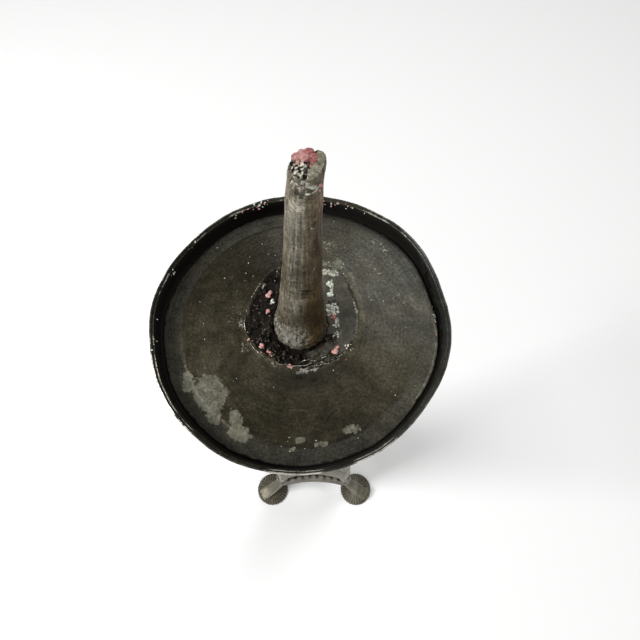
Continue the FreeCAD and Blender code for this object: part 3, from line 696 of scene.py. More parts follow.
def make_crust(material):
    """The smooth plate and the burnt, crumbly residue round the pricket's foot."""
    segments, rings = 400, 54
    points, marks = [], []
    for s in range(segments):
        angle = TURN * s / segments
        reach = zone_radius(angle)
        for k in range(rings):
            r, height, here = crust_point(angle, k / (rings - 1), reach)
            points.append(polar(r, angle, FLOOR_TOP + height * MM))
            marks.append(here)
        points += [polar(reach, angle, FLOOR_TOP - 1.6 * MM),
                   polar(CRUST_INSIDE, angle, FLOOR_TOP - 2.6 * MM)]
        marks += [{"char_and_shade": burnt_side(angle), "oxide": 0.3}, {"char_and_shade": 1}]
    piece = add_mesh("pricket_flange_crust", points, ring_faces(segments, rings + 2), material,
                     marks)
    settle(piece, "pricket_pewter", "pricket_flange")


# Curled strips of torn metal: (first and last degrees, first and last reach, rise) in mm.
TORN_LIPS = ((-106, -66, 20.8, 19.0, 1.5), (-98, -56, 22.6, 21.6, 1.0),
             (-92, -74, 18.2, 17.2, 1.2), (160, 190, 27.6, 26.2, 1.1),
             (196, 226, 25.6, 22.4, 1.0), (236, 252, 21.5, 21.0, 1.0),
             (-52, -30, 22.0, 25.2, 0.7), (128, 150, 29.5, 28.0, 0.8),
             (-74, -42, 18.0, 20.4, 0.7), (-80, -52, 20.2, 22.8, 0.6))


def lip_ring(number, t, sides):
    """One ring of points round a torn strip at a share t of its length, with their masks."""
    first, last, near, far, rise = TORN_LIPS[number]

    def wander(pace, row, seed):
        return rough((t * pace, number, row), 1.0, seed)

    swell = math.sin(math.pi * min(max(t, 0.01), 0.99)) ** 0.6
    reach = near + (far - near) * t + 0.8 * wander(3, 0, 61)
    height = rise * swell * (0.7 + 0.5 * wander(5, 1, 62)) - 0.1
    half_width = 0.75 * swell * (0.8 + 0.5 * wander(7, 2, 63))
    tilt = math.radians(50 + 40 * wander(3, 0, 61))
    highlight_strength = 0.45 + 0.6 * wander(9, 3, 66)
    points, marks = [], []
    for side in range(sides):
        q = TURN * side / sides
        out, up = half_width * math.cos(q), 0.20 * swell * math.sin(q)
        r = (reach + out * math.cos(tilt) - up * math.sin(tilt)) * MM
        z = (height + out * math.sin(tilt) + up * math.cos(tilt)) * MM
        points.append(polar(r, math.radians(first + (last - first) * t), FLOOR_TOP + z))
        # Each strip's upper side gets a painted highlight, its underside painted shade.
        marks.append({"wear_and_highlight": highlight_strength * blend(0.2, 0.9, math.cos(q)),
                      "dirt_and_shade": 0.8 * blend(0.2, -0.8, math.cos(q))})
    return points, marks


def tube_faces(steps, sides):
    """A tube of rings of points, closed at both ends."""
    return ring_faces(steps, sides, closed_rings=False) + [
        tuple(range(sides)), tuple(range((steps - 1) * sides, steps * sides))]


def make_torn_lips(material):
    points, faces, marks = [], [], []
    steps, sides = 46, 10
    for number in range(len(TORN_LIPS)):
        faces += [tuple(len(points) + i for i in face) for face in tube_faces(steps, sides)]
        for k in range(steps):
            ring, ring_marks = lip_ring(number, k / (steps - 1), sides)
            points += ring
            marks += ring_marks
    settle(add_mesh("torn_lips", points, faces, material, marks), "pan_pewter")


# ---------------------------------------------------------------- pricket and wax

# The pricket's radius in mm at shares of its height.
PRICKET_SHAPE = ((11.4, 0.0), (12.3, 0.016), (12.2, 0.045), (11.6, 0.085), (10.7, 0.14),
                 (10.0, 0.21), (8.8, 0.34), (7.8, 0.46), (7.1, 0.57), (6.4, 0.68), (5.7, 0.83),
                 (5.0, 0.95), (4.7, 1.0))
LEAN = 5.7
# Marks on the pricket, unrolled: (to the right of the front, up, ...) in mm, as on the pan.
SCRATCHED = ((1.6, 115.4, 3.8, 0.6, -42, 0.9), (3.6, 113.0, 1.8, 0.6, 25, 0.8),
             (-4.6, 106.3, 1.9, 0.26, -35, 1.2), (-2.3, 105.0, 1.7, 0.26, -8, 1.2),
             (-3.1, 107.6, 1.4, 0.22, -42, 1.1), (-1.0, 106.8, 1.5, 0.22, -5, 1.0),
             (-1.3, 105.8, 1.4, 0.5, -15, 0.5), (-5.4, 101.5, 2.0, 0.3, -60, 0.8),
             (2.5, 96, 3.2, 0.4, -60, 0.45), (-2.5, 84, 4.5, 0.4, 80, 0.45),
             (4.5, 70, 4.0, 0.4, 75, 0.35), (-5, 62, 5.0, 0.4, 98, 0.4),
             (0.5, 40, 5.0, 0.4, 84, 0.35))
DARKENED = ((-2.2, 112.0, 3.2, 2.2, 0, 0.45), (-1.0, 110.6, 0.9, 0.6, 20, 0.6),
            (2.4, 55.9, 4.2, 0.42, -18, 0.95), (6.4, 55.4, 2.4, 0.34, 14, 0.8),
            (2.5, 53.5, 1.8, 0.3, -50, 0.6), (4.2, 52.5, 1.8, 0.3, -55, 0.6),
            (1.0, 54.0, 1.4, 0.3, -50, 0.5), (3.5, 100, 6.0, 1.6, 88, 0.4),
            (5.0, 84, 9.0, 1.8, 92, 0.45), (-1.0, 66, 7.0, 1.0, 88, 0.35),
            (2.0, 30, 6.0, 1.6, 84, 0.4), (-3.0, 92, 5.0, 0.8, 86, 0.35))
BLOOM = ((2.8, 117.6, 3.4, 2.0, 12, 0.56), (0.2, 112.6, 1.1, 0.6, 15, 0.6),
         (4.2, 113.6, 1.8, 0.8, -10, 0.52))
# The splintered front left of the broken tip.
SPLINTERED = ((-3.4, 117.4, 3.6, 2.4, -25, 1.0), (-1.0, 115.8, 2.0, 1.2, -40, 0.8))


def pricket_radius(t):
    for (near, a), (far, b) in zip(PRICKET_SHAPE, PRICKET_SHAPE[1:]):
        if t <= b:
            return (near + (far - near) * blend(a, b, t)) * MM
    return PRICKET_SHAPE[-1][0] * MM


def pricket_axis(t):
    """The worn pricket leans to the right, a little more near its tip."""
    return (LEAN * max(t - 0.02, 0) + 0.45 * blend(0.85, 1.0, t)) * MM


def tip_depth(angle):
    """How far the broken edge stands below the tip's highest point: low at the front left,
    a little lower at the back, where the wax lies over it."""
    front_left = 1.4 * facing(angle, 235, -0.2, 0.9)
    back = 1.2 * facing(angle, 118, 0.1, 0.8)
    return (0.35 + front_left + back + 0.8 * abs(around(angle, 21, 4))) * MM


def tip_corner(angle, share):
    """The shard at the back right of the tip stands out squarely."""
    return 1 + 0.17 * facing(angle, 38, 0.70, 0.98) * blend(0.93, 1, share)


def pricket_wall(angle, z, length):
    """Radius of the pricket at a height, and the masks there."""
    right, back = math.cos(angle), math.sin(angle)
    front = (angle - math.radians(270) + math.pi) % TURN - math.pi
    share = z / length

    def grain(across, along, seed):
        return rough((right * across, back * across, share * along), 1.0, seed)

    fibres, fine, lumps = grain(5.5, 2.2, 22), grain(13, 5, 23), grain(1.2, 7, 24)
    tip = blend(0.93, 0.99, share)
    chips = grain(2.4, 30, 25) * tip * 0.5
    foot = blend(0.28, 0.09, share)
    clods = foot * (0.55 * grain(4, 26, 29) + 0.30 * grain(10, 80, 30)
                    + 0.9 * blend(0.05, 0, share) * around(angle, 30, 4))
    mottled = grain(14, 40, 26) + 0.7 * grain(34, 110, 27)
    r = pricket_radius(share) * tip_corner(angle, share)
    r += (0.28 * fibres + 0.14 * fine + 0.30 * lumps + chips + clods) * MM
    across, up = front * r / MM, z / MM
    scratch = spot(across, up, SCRATCHED) * (0.6 + 0.4 * blend(-0.4, 0.2, fibres + fine))
    dark = spot(across, up, DARKENED)
    splinters = spot(across, up, SPLINTERED)
    shards = rough((across, up, 3), 1.5, 64) + 0.6 * rough((across, up, 5), 3.2, 65)
    r += (0.8 * splinters * shards - 0.25 * dark - 0.22 * scratch) * MM
    # The foot is brighter on the left, where the light comes from: painted light.
    lit_foot = foot * (0.35 + 0.65 * blend(0.03, 0.07, share)) * blend(0.75, -0.1, right)
    # On the left the fibres get a painted highlight and the splinters painted glints; the very bottom
    # is painted shade where the pricket meets the pan; the brown mask is strongest on the shaded
    # right.
    return r, {
        "wear_and_highlight": max(0.9 * scratch, 0.44 * max(fibres, 0) * blend(0.4, -0.3, right),
                    lit_foot * (0.40 + 0.95 * mottled), splinters * 1.1 * shards),
        "dirt_and_shade": max(dark, 0.8 * blend(0.018, 0.0, share), splinters * -1.1 * shards,
                     0.9 * tip * max(-chips * 2, 0), foot * (0.05 - 0.6 * mottled)),
        "oxide": max(tip * 0.8 * max(chips * 2, 0), spot(across, up, BLOOM)),
        "brown_and_shade": (blend(-0.3, 0.6, right) + 0.35 * blend(0.35, 0.9, -right)) * (0.95 + 0.4 * lumps)}


def pricket_cap(angle, share_in):
    """Radius and depth of the broken top at a share of its reach, and the masks there."""
    r = pricket_radius(1.0) * share_in * tip_corner(angle, 1)
    x, y, _ = place = polar(r, angle)
    right = blend(0.0, 2.4 * MM, x - 0.3 * y)
    chip = rough(place, 900, 33) + 0.5 * rough(place, 2100, 34)
    crater = (0.3 + 1.3 * abs(rough(place, 650, 32))) * (1 - 0.6 * right)
    depth = tip_depth(angle) * share_in ** 2 + (1 - share_in ** 2 + crater) * MM
    # On the left the chips are bright as painted glints and darker between them; on the right the top
    # is pale.
    return r, depth, {"wear_and_highlight": (1 - right) * max(1.1 * chip, 0),
                      "dirt_and_shade": (1 - right) * (0.38 - 0.9 * chip) + 0.6 * max(-chip, 0),
                      "oxide": right * (0.55 + 0.6 * chip)}


def make_pricket(material):
    low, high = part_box("pricket")
    length = high.z - low.z
    segments, rings, cap_rings = 200, 400, 15
    points, marks = [], []

    def add(angle, r, axis, z, here):
        x, y, _ = polar(r, angle)
        points.append((axis + x, y, z))
        marks.append(here)

    for s in range(segments):
        angle = TURN * s / segments
        top = length - tip_depth(angle)
        for k in range(rings):
            z = top * k / (rings - 1)
            r, here = pricket_wall(angle, z, length)
            add(angle, r, pricket_axis(z / length), low.z + z, here)
        for k in range(1, cap_rings):
            r, depth, here = pricket_cap(angle, 1 - k / cap_rings)
            add(angle, r, pricket_axis(1), high.z - depth, here)
        add(angle, 0, pricket_axis(1), high.z - 2.0 * MM, {"dirt_and_shade": 1})
        add(angle, 0, 0, low.z + 0.2 * MM, {"dirt_and_shade": 1})
    piece = add_mesh("pricket_skin", points, ring_faces(segments, rings + cap_rings + 1),
                     material, marks)
    face_out(piece.data, merge=SAME_POINT)
    settle(piece, "pricket_pewter", "pricket")


def lump_shape(rounds):
    """The corners and faces of a unit ball."""
    work = bmesh.new()
    bmesh.ops.create_icosphere(work, subdivisions=rounds, radius=1.0)
    corners = [vert.co.copy() for vert in work.verts]
    faces = [tuple(v.index for v in face.verts) for face in work.faces]
    work.free()
    return corners, faces


def lump_points(corners, centre, size, seed, flat, craggy):
    """A ball's corners, swollen and squashed into one irregular lump."""
    wide = 1 + craggy * 2.0 * math.sin(seed * 2.3)
    turn = math.cos(seed * 5.1) * math.pi
    for corner in corners:
        swell = (1 + 0.36 * rough(corner, 1.3, seed)
                 + (0.10 + craggy) * rough(corner, 2.9, seed + 1)
                 + 0.7 * craggy * rough(corner, 6.0, seed + 2))
        x, y = corner.x * wide, corner.y / wide
        offset = Vector((x * math.cos(turn) - y * math.sin(turn),
                         x * math.sin(turn) + y * math.cos(turn), corner.z * flat))
        yield Vector(centre) + offset * swell * size


def make_lumps(name, material, lumps):
    """One piece from many (centre, size, flatness) lumps: big ones smooth, small ones craggy."""
    points, faces = [], []
    for number, (centre, size, flat) in enumerate(lumps):
        large = size > 0.9 * MM
        corners, ball = lump_shape(4 if large else 3 if size > 0.4 * MM else 2)
        faces += [tuple(len(points) + i for i in face) for face in ball]
        points += lump_points(corners, centre, size, number * 1.37 + len(name), flat,
                              0.05 if large else 0.20)
    settle(add_mesh(name, points, faces, material), "pricket_pewter")


def ground(x, y):
    """Height in mm, over the pan's floor, of what a crumb lies on."""
    angle = math.atan2(y, x)
    if math.hypot(x, y) * MM > zone_radius(angle):
        return 0
    return 0.6 - 1.1 * burnt_side(angle)


def scatter(chance, places):
    """Crumb clusters: each place is (x, y, spread, count, smallest, largest) in mm."""
    lumps = []
    for x, y, spread, count, smallest, largest in places:
        for _ in range(count):
            size = chance.uniform(smallest, largest)
            here = (x + chance.gauss(0, spread), y + chance.gauss(0, spread))
            height = FLOOR_TOP / MM + ground(*here) + size * 0.35
            lumps.append((Vector((*here, height)) * MM, size * MM, chance.uniform(0.5, 0.8)))
    return lumps


def tip_lumps(chance, places):
    """Lumps at (x, y, z, size) in mm from the highest point of the pricket's tip."""
    tip = Vector((pricket_axis(1), 0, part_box("pricket")[1].z))
    return [(tip + Vector((x, y, z)) * MM, size * MM, chance.uniform(0.7, 0.95))
            for x, y, z, size in places]


def rim_crumbs(chance, count, first, last, radius, height, drop=4.0):
    """Crumbs along an arc of the rim, between two angles in degrees."""
    lumps = []
    for _ in range(count):
        angle = math.radians(chance.uniform(first, last))
        r = radius + chance.uniform(-0.4 * drop, 0.2) * MM
        z = height - chance.uniform(-0.2, drop) * MM
        lumps.append((polar(r, angle, z), chance.uniform(0.18, 0.5) * MM, 0.7))
    return lumps


def floor_specks(chance, count):
    lumps = []
    for _ in range(count):
        angle, r = chance.uniform(0, TURN), math.sqrt(chance.uniform(0.16, 1)) * 63 * MM
        size = chance.uniform(0.10, 0.26) * MM
        lumps.append((polar(r, angle, FLOOR_TOP + size * 0.2), size, 0.6))
    return lumps


PINK_CRUMBS = ((-15.5, 17, 0.8, 7, 0.4, 1.0), (-16, 8, 0.9, 6, 0.3, 0.8),
               (-18.5, -9.5, 0.9, 7, 0.3, 0.8), (-15, -13.5, 1.3, 8, 0.3, 0.7),
               (-4, -20.4, 0.8, 5, 0.4, 0.9), (16.2, 4.4, 0.8, 5, 0.4, 0.9),
               (17.1, -12, 1.0, 7, 0.5, 1.2), (20, -14, 0.8, 4, 0.3, 0.7),
               (-24, -8, 0.7, 4, 0.3, 0.7))
PALE_CRUMBS = ((15.2, 9.4, 1.1, 16, 0.4, 0.85), (16.4, 7.4, 1.0, 14, 0.3, 0.8),
               (14.6, 22, 0.7, 10, 0.4, 0.9), (14.3, 17.5, 1.0, 10, 0.3, 0.8),
               (16.8, 0.5, 0.9, 7, 0.3, 0.6), (17.5, -4.4, 1.0, 8, 0.2, 0.6),
               (12, 31, 2.4, 10, 0.12, 0.38), (20, 31, 1.8, 8, 0.12, 0.35),
               (23.5, -10.5, 1.0, 8, 0.2, 0.6), (-14, 13, 0.8, 6, 0.3, 0.7),
               (-28.5, 1, 0.7, 6, 0.12, 0.35), (-6, 30, 2.5, 6, 0.12, 0.3),
               (44, 14, 5.0, 9, 0.12, 0.3))
BLACK_CRUMBS = ((-17, -5, 3.0, 12, 0.3, 0.8), (-19, 8, 3.0, 9, 0.3, 0.8),
                (-9, -16, 2.5, 10, 0.3, 0.8), (4, -17, 2.5, 8, 0.3, 0.7),
                (15.5, 12, 1.5, 9, 0.3, 0.7), (15, -7, 1.2, 8, 0.3, 0.7))
# Lumps at the tip, from its highest point: (x, y, z, size) in mm.
PINK_TIP = ((3.6, -3.3, -5.4, 0.35), (4.0, -3.0, -6.4, 0.4), (3.4, -3.9, -7.2, 0.3))
DEEP_TIP = ((0.7, 3.9, -1.9, 1.6), (1.6, 2.6, -1.7, 1.5), (1.9, 1.1, -1.9, 1.3),
            (1.2, 0.1, -2.2, 1.0), (0.3, 2.2, -2.1, 1.3))
ROSE_TIP = ((-2.7, 2.8, -1.9, 1.3), (-1.3, 4.1, -1.9, 1.5), (-0.8, 2.5, -1.7, 1.4),
            (-2.2, 1.4, -2.3, 0.9))
PALE_TIP = ((-3.9, -0.6, -1.9, 0.35), (-3.3, -1.9, -2.8, 0.4), (-2.3, -1.4, -2.3, 0.45),
            (-1.7, -2.6, -3.0, 0.4), (-0.9, -1.9, -2.5, 0.3), (0.2, -4.9, -7.4, 0.5),
            (-2.9, -3.3, -3.9, 0.35))
BLACK_TIP = ((-3.3, -1.8, -2.6, 0.6), (-0.4, -1.4, -2.0, 0.9), (0.8, -1.8, -2.2, 0.8),
             (-1.6, -2.8, -3.2, 0.6), (-4.4, -0.8, -2.2, 0.5), (-3.0, -3.1, -4.2, 0.5))


def make_wax():
    """Melted wax at the tip, and crumbs of wax and soot on the pan. The order of these lines is
    the order of the random draws."""
    chance = random.Random(41)
    edge = PAN_HIGH.x - 0.9 * MM

    def on_rim(count, first, last, inset=0.4):
        return rim_crumbs(chance, count, first, last, edge - inset * MM, PAN_HIGH.z)

    def at_wall(count, first, last):
        return rim_crumbs(chance, count, first, last, edge - 3.5 * MM, FLOOR_TOP, 0.5)

    pink = (scatter(chance, PINK_CRUMBS) + on_rim(18, 106, 118, 0.6)
            + on_rim(10, 68, 82, 0.6) + tip_lumps(chance, PINK_TIP) + at_wall(9, -4, 10))
    deep = tip_lumps(chance, DEEP_TIP)
    rose = tip_lumps(chance, ROSE_TIP)
    pale = (scatter(chance, PALE_CRUMBS) + on_rim(8, 60, 84) + at_wall(10, 1, 7)
            + on_rim(16, 104, 120) + on_rim(14, 120, 200) + floor_specks(chance, 46)
            + tip_lumps(chance, PALE_TIP))
    black = scatter(chance, BLACK_CRUMBS) + tip_lumps(chance, BLACK_TIP)
    for name, lumps, wax, dark, light in (
            ("tip_wax_deep", deep, "red_wax", (0.12, 0.024, 0.024), (0.25, 0.080, 0.076)),
            ("tip_wax_rose", rose, "rose_wax", (0.19, 0.066, 0.062), (0.40, 0.21, 0.195)),
            ("pink_wax_crumbs", pink, "pink_wax", (0.30, 0.10, 0.090), (0.66, 0.40, 0.37)),
            ("pale_wax_crumbs", pale, "pale_wax", (0.40, 0.41, 0.34), (0.74, 0.73, 0.66)),
            ("burnt_crumbs", black, "burnt_wax", (0.006, 0.005, 0.004), (0.035, 0.024, 0.018))):
        make_lumps(name, wax_material(wax, dark, light), lumps)


# ---------------------------------------------------------------- feet, legs and aprons

LEG_ANGLES = {"left": 210, "right": 330, "back": 90}
SIDE_ANGLES = {"front": 270, "right": 30, "left": 150}
SHELL_RIBS = 30
SHELL_WIDTH = 24.8 / 9      # a shell's radius over its height
SHELL_TOP = 8.7             # where a leg's tongue rests on its shell, in mm


def swing(out, across, up, degrees):
    """A local point in mm, swung round the stem to face the given way, in metres."""
    a = math.radians(degrees)
    return ((out * math.cos(a) - across * math.sin(a)) * MM,
            (out * math.sin(a) + across * math.cos(a)) * MM, up * MM)


def shell_line(angle, radius, height, rings):
    """A shell foot's (reach, up) in mm from its middle to its underside, and their masks."""
    rib = abs(math.cos(angle * SHELL_RIBS / 2))
    line, marks = [], []
    for k in range(rings):
        t = k / (rings - 1)
        depth = blend(0.22, 0.75, t)
        r = radius * t * (1 - 0.030 * depth * (1 - rib))
        dome = height * (1 - 0.70 * blend(0.58, 1.02, t))
        z = dome - 1.5 * depth * (1 - rib) + 0.2 * rough((r * MM, angle, 0), 300, 31)
        line.append((r, z))
        marks.append({"dirt_and_shade": 0.36 * depth * (1 - rib) ** 1.5 + 0.14,
                      "wear_and_highlight": 0.18 * depth * rib ** 3})
    edge = radius * (1 - 0.030 * (1 - rib))
    return line + [(edge, 0.8), (edge - 0.8, 0), (0, 0)], marks + [{"dirt_and_shade": 0.6}] * 3


def make_shell_foot(side, material):
    """A round shell: ribs fan out over a low dome to a scalloped edge."""
    low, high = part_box(f"shell_foot_{side}")
    centre, height = ((low + high) / 2).xy.length / MM, (high.z - low.z) / MM
    segments = SHELL_RIBS * 8
    points, marks = [], []
    for s in range(segments):
        angle = TURN * s / segments
        line, here = shell_line(angle, height * SHELL_WIDTH, height, 22)
        points += [swing(centre + r * math.cos(angle), r * math.sin(angle), z, LEG_ANGLES[side])
                   for r, z in line]
        marks += here
    piece = add_mesh(f"shell_foot_{side}_skin", points, ring_faces(segments, len(line)), material,
                     marks)
    face_out(piece.data, merge=SAME_POINT)
    settle(piece, "pewter", f"shell_foot_{side}")


# A leg from the tongue's end to the plinth: (out, up, width, thickness) in mm.
LEG_PATH = ((98.5, 11.6, 17.5, 4.6), (91.0, 12.6, 18.6, 7.0), (82.0, 15.6, 17.6, 9.6),
            (73.6, 22.5, 15.6, 11.4), (66.0, 35.0, 13.8, 12.2), (60.6, 51.0, 13.4, 12.8),
            (57.4, 70.0, 14.2, 13.4), (55.2, 92.0, 15.0, 14.4), (53.4, 108.0, 15.2, 15.2),
            (52.2, 117.9, 15.0, 15.8))
LEG_RINGS = 90
SHARP_CORNERS = (1, 2, 8, 9)    # of a leg's section, rubbed bright


def leg_section(width, thick):
    """Half-octagon bar: facets on its outer face, a flat back, softened corners."""
    w, t, c = width / 2, thick / 2, min(width, thick) * 0.26
    e = 0.5
    return ((w, -t + e), (w, t - c - e), (w - 0.25 * c, t - 0.75 * c), (w - c, t - 0.2),
            (w - c - e, t), (-w + c + e, t), (-w + c, t - 0.2), (-w + 0.25 * c, t - 0.75 * c),
            (-w, t - c - e), (-w, -t + e), (-w + e, -t), (w - e, -t))


def leg_direction(sections, k):
    """The way up the leg at a ring, as (out, up); its top stands upright under the plinth."""
    if k == LEG_RINGS - 1:
        return Vector((0, 1))
    before, after = sections[max(k - 1, 0)], sections[k + 1]
    return Vector((after[0] - before[0], after[1] - before[1])).normalized()


def make_leg(side, material):
    sections = [smooth_through(LEG_PATH, k / (LEG_RINGS - 1)) for k in range(LEG_RINGS)]
    points, marks = [], []
    for k, (out, up, width, thick) in enumerate(sections):
        along = leg_direction(sections, k)
        squeeze = 1 - 0.10 * blend(3, 0, k)
        corners = leg_section(width, thick)
        for number, (across, away) in enumerate(corners):
            x = out + along.y * away * squeeze
            z = max(up - along.x * away * squeeze, SHELL_TOP)
            ripple = 0.18 * rough((x, across, z), 0.08, 33)
            points.append(swing(x + ripple, across * squeeze + ripple, z, LEG_ANGLES[side]))
            marks.append({"wear_and_highlight": 0.34 if number in SHARP_CORNERS else 0.06,
                          "dirt_and_shade": 0.5 * blend(12, 9, z) + 0.35 * blend(108, 118, z)})
    piece = add_mesh(f"leg_{side}_skin", points, tube_faces(LEG_RINGS, len(corners)), material,
                     marks)
    soften(piece)
    settle(piece, "pewter", f"leg_{side}")


def soften(piece):
    """One round of subdivision, applied, so that edges look cast."""
    modifier = piece.modifiers.new("soft", "SUBSURF")
    modifier.levels = modifier.render_levels = 1
    bpy.context.view_layer.objects.active = piece
    bpy.ops.object.modifier_apply(modifier=modifier.name)


def plate_mesh(name, front, back, rows, material, marks):
    """A closed plate between two equal grids of points, given row by row."""
    count, under = len(front) // rows, len(front)
    faces = []
    for r in range(rows - 1):
        for c in range(count - 1):
            a = r * count + c
            b = under + a
            faces.append((a, a + 1, a + count + 1, a + count))
            faces.append((b + count, b + count + 1, b + 1, b))
    edge = (list(range(count)) + [r * count + count - 1 for r in range(1, rows)]
            + [(rows - 1) * count + c for c in range(count - 2, -1, -1)]
            + [r * count for r in range(rows - 2, 0, -1)])
    faces += [(b, a, under + a, under + b) for a, b in zip(edge, edge[1:] + edge[:1])]
    return add_mesh(name, front + back, faces, material, marks + marks)


CREST_LOBES = 9
CREST_ENDS = 95.5                       # height of the crest at the legs, in mm
APRON_MIDDLE, APRON_ENDS = 30.2, 35.6   # distance from the stem's axis, in mm
APRON_HALF = 48.0                       # half its chord, in mm


def apron_point(u, v, base):
    """An apron's outer and inner place as (out, across, up) in mm, and its masks. u runs from
    -1 to 1 between the legs, v from 0 to 1 from the arched lower edge to the lobed crest."""
    lobes = abs(math.cos(u * math.pi * CREST_LOBES / 2))
    bottom = base + 16.6 * (1 - u * u) ** 0.8
    top = CREST_ENDS + 6.8 * (1 - u * u) + 2.5 * lobes ** 0.6
    z = bottom + (top - bottom) * v
    relief = 1.2 * blend(0.50, 0.95, v) * lobes + 0.9 * blend(0.16, 0.0, v)
    scroll = math.sin(v * 10 + abs(u) * 7) * blend(0.15, 0.35, v) * blend(0.75, 0.6, v)
    relief = (relief + 0.8 * scroll) * blend(1.0, 0.88, abs(u))
    edge = blend(0, 0.05, v) * blend(1, 0.95, v)
    out = (APRON_MIDDLE + (APRON_ENDS - APRON_MIDDLE) * u * u
           - (1.0 + 4.4 * (1 - u * u)) * blend(0.35, 1.0, v))
    outer = (out + (1.2 + relief) * (0.35 + 0.65 * edge), APRON_HALF * u, z)
    inner = (out - 1.7 * (0.4 + 0.6 * edge), APRON_HALF * u, z)
    # The crest is darkened between its lobes: painted shade of the slot behind it.
    return outer, inner, {"wear_and_highlight": max(0.5 * blend(0.05, 0.0, v), 0.18 * lobes),
                          "dirt_and_shade": 0.55 * blend(0.5, 0.9, v) * (1 - lobes) + 0.20}


def make_apron(side, material):
    """A curved plate between two legs: smooth arched lower edge, wavy leafy crest."""
    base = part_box(f"apron_{side}")[0].z / MM
    columns, rows = 96, 26
    front, back, marks = [], [], []
    for k in range(rows * columns):
        u, v = 2 * (k % columns) / (columns - 1) - 1, k // columns / (rows - 1)
        outer, inner, here = apron_point(u, v, base)
        front.append(swing(*outer, SIDE_ANGLES[side]))
        back.append(swing(*inner, SIDE_ANGLES[side]))
        marks.append(here)
    piece = plate_mesh(f"apron_{side}_skin", front, back, rows, material, marks)
    settle(piece, "pewter", f"apron_{side}")


# ---------------------------------------------------------------- plinth

# Sections of the plinth: (height, corner reach, facet half width, middle reach) in mm.
PLINTH_LEVELS = ((118, 58, 7, 27.2), (150, 56.2, 6.7, 26), (180, 54.2, 6.2, 25),
                 (193, 53.2, 6, 24.5), (196.5, 51.2, 5.8, 24.2), (218, 40.5, 4.9, 20.6),
                 (240, 30, 4, 17.2))
PLINTH_WALL = 3
TAN_30, SIN_60 = 0.577, math.sin(math.radians(60))
# The arch cut into a panel's foot: its radius, and its centre's depth under the foot, in mm.
ARCH_RADIUS, ARCH_CENTRE = 55, 29.7


def plinth_level(height):
    for a, b in zip(PLINTH_LEVELS, PLINTH_LEVELS[1:]):
        if height <= b[0]:
            share = (height - a[0]) / (b[0] - a[0])
            return tuple(p + (q - p) * share for p, q in zip(a, b))
    return PLINTH_LEVELS[-1]


def plinth_section(level, inset):
    """Points of one panel's section from its left seam to its right seam, (out, across)."""
    _, corner, facet, middle = level
    corner, facet, middle = corner - inset, facet - inset * TAN_30, middle - inset
    seam = Vector((corner * 0.5, corner * SIN_60))
    end = Vector((seam.x + facet * SIN_60, seam.y - facet * 0.5))
    half = [tuple(seam.lerp(end, k / 4 * 0.94)) for k in range(4)]
    for k in range(15):
        t = 1 - k / 14
        half.append((middle + (end.x - middle) * t ** 2,
                     end.y * t * (0.985 if k == 0 else 1)))
    return half + [(x, -y) for x, y in half[-2::-1]]


def make_plinth_panel(side, material):
    """A concave side of the pyramid with raised borders, arched at its foot."""
    foot, top = PLINTH_LEVELS[0][0], PLINTH_LEVELS[-1][0]
    rows = 60
    front, back, marks = [], [], []
    for r in range(rows):
        t = r / (rows - 1)
        level = plinth_level(foot + t * (top - foot))
        border = blend(0.10, 0.03, t) + blend(0.94, 0.985, t)
        proud = 1 + 0.012 * border
        for (x, y), (xi, yi) in zip(plinth_section(level, 0), plinth_section(level, PLINTH_WALL)):
            arch = math.sqrt(max(ARCH_RADIUS ** 2 - y * y, 0)) - ARCH_CENTRE
            z = level[0] + max(arch, 0) * (1 - t) ** 1.6
            dent = 0.25 * rough((x, y, z), 0.06, 41)
            front.append(swing(x * proud + dent, y * proud, z, SIDE_ANGLES[side]))
            back.append(swing(xi, yi, z, SIDE_ANGLES[side]))
            edge = blend(3, 0.4, abs(math.hypot(x, y) - level[1]))
            marks.append({"wear_and_highlight": max(0.24 * edge, 0.18 * border) + 0.06,
                          "dirt_and_shade": 0.3 * blend(0.9, 1.0, t)})
    piece = plate_mesh(f"plinth_{side}_skin", front, back, rows, material, marks)
    settle(piece, "pewter", f"plinth_{side}")


# ---------------------------------------------------------------- stem castings

CALYX_LEAVES = 12
CALYX_HEIGHT = 42.0
VASE_GADROONS = 20


def leaf_swell(angle):
    """1 on a leaf's midrib, 0 in the gap between two leaves."""
    return abs(math.cos(angle * CALYX_LEAVES / 2))


def leafy(angle, r, h):
    """The calyx's wall raised into leaves, with the gaps between their tips cut down."""
    rise = blend(4, CALYX_HEIGHT, h / MM)
    outside = blend(-2.4, -0.6, (r / MM) - (18.5 + 6.5 * rise ** 1.6))
    swell = leaf_swell(angle)
    rib = blend(0.9, 1.0, swell)
    r += (1.3 * swell ** 0.7 - 0.9 + 0.35 * rib) * outside * MM * blend(0.0, 0.4, rise)
    cut = (1 - swell ** 0.55) * 12.5 * blend(0.55, 1.0, rise)
    curl = 1.3 * blend(0.82, 1.0, rise) * swell
    return r + curl * MM, h - cut * MM


def between_leaves(angle, r, h):
    return (1 - leaf_swell(angle)) ** 1.5 * blend(3, 12, h / MM) + blend(17.5, 15, r / MM)


def gadrooned(low, high, depth):
    """A carving of vertical lobes between two heights in mm: its shape, grooves and segments."""
    def groove(angle, r, h):
        window = blend(low, low + 7, h / MM) * blend(high, high - 5, h / MM)
        lobe = abs(math.sin(angle * VASE_GADROONS / 2))
        return (1 - lobe) ** 1.4 * window * (r > 13 * MM)

    def shape(angle, r, h):
        return r - depth * MM * groove(angle, r, h), h
    return shape, groove, 240


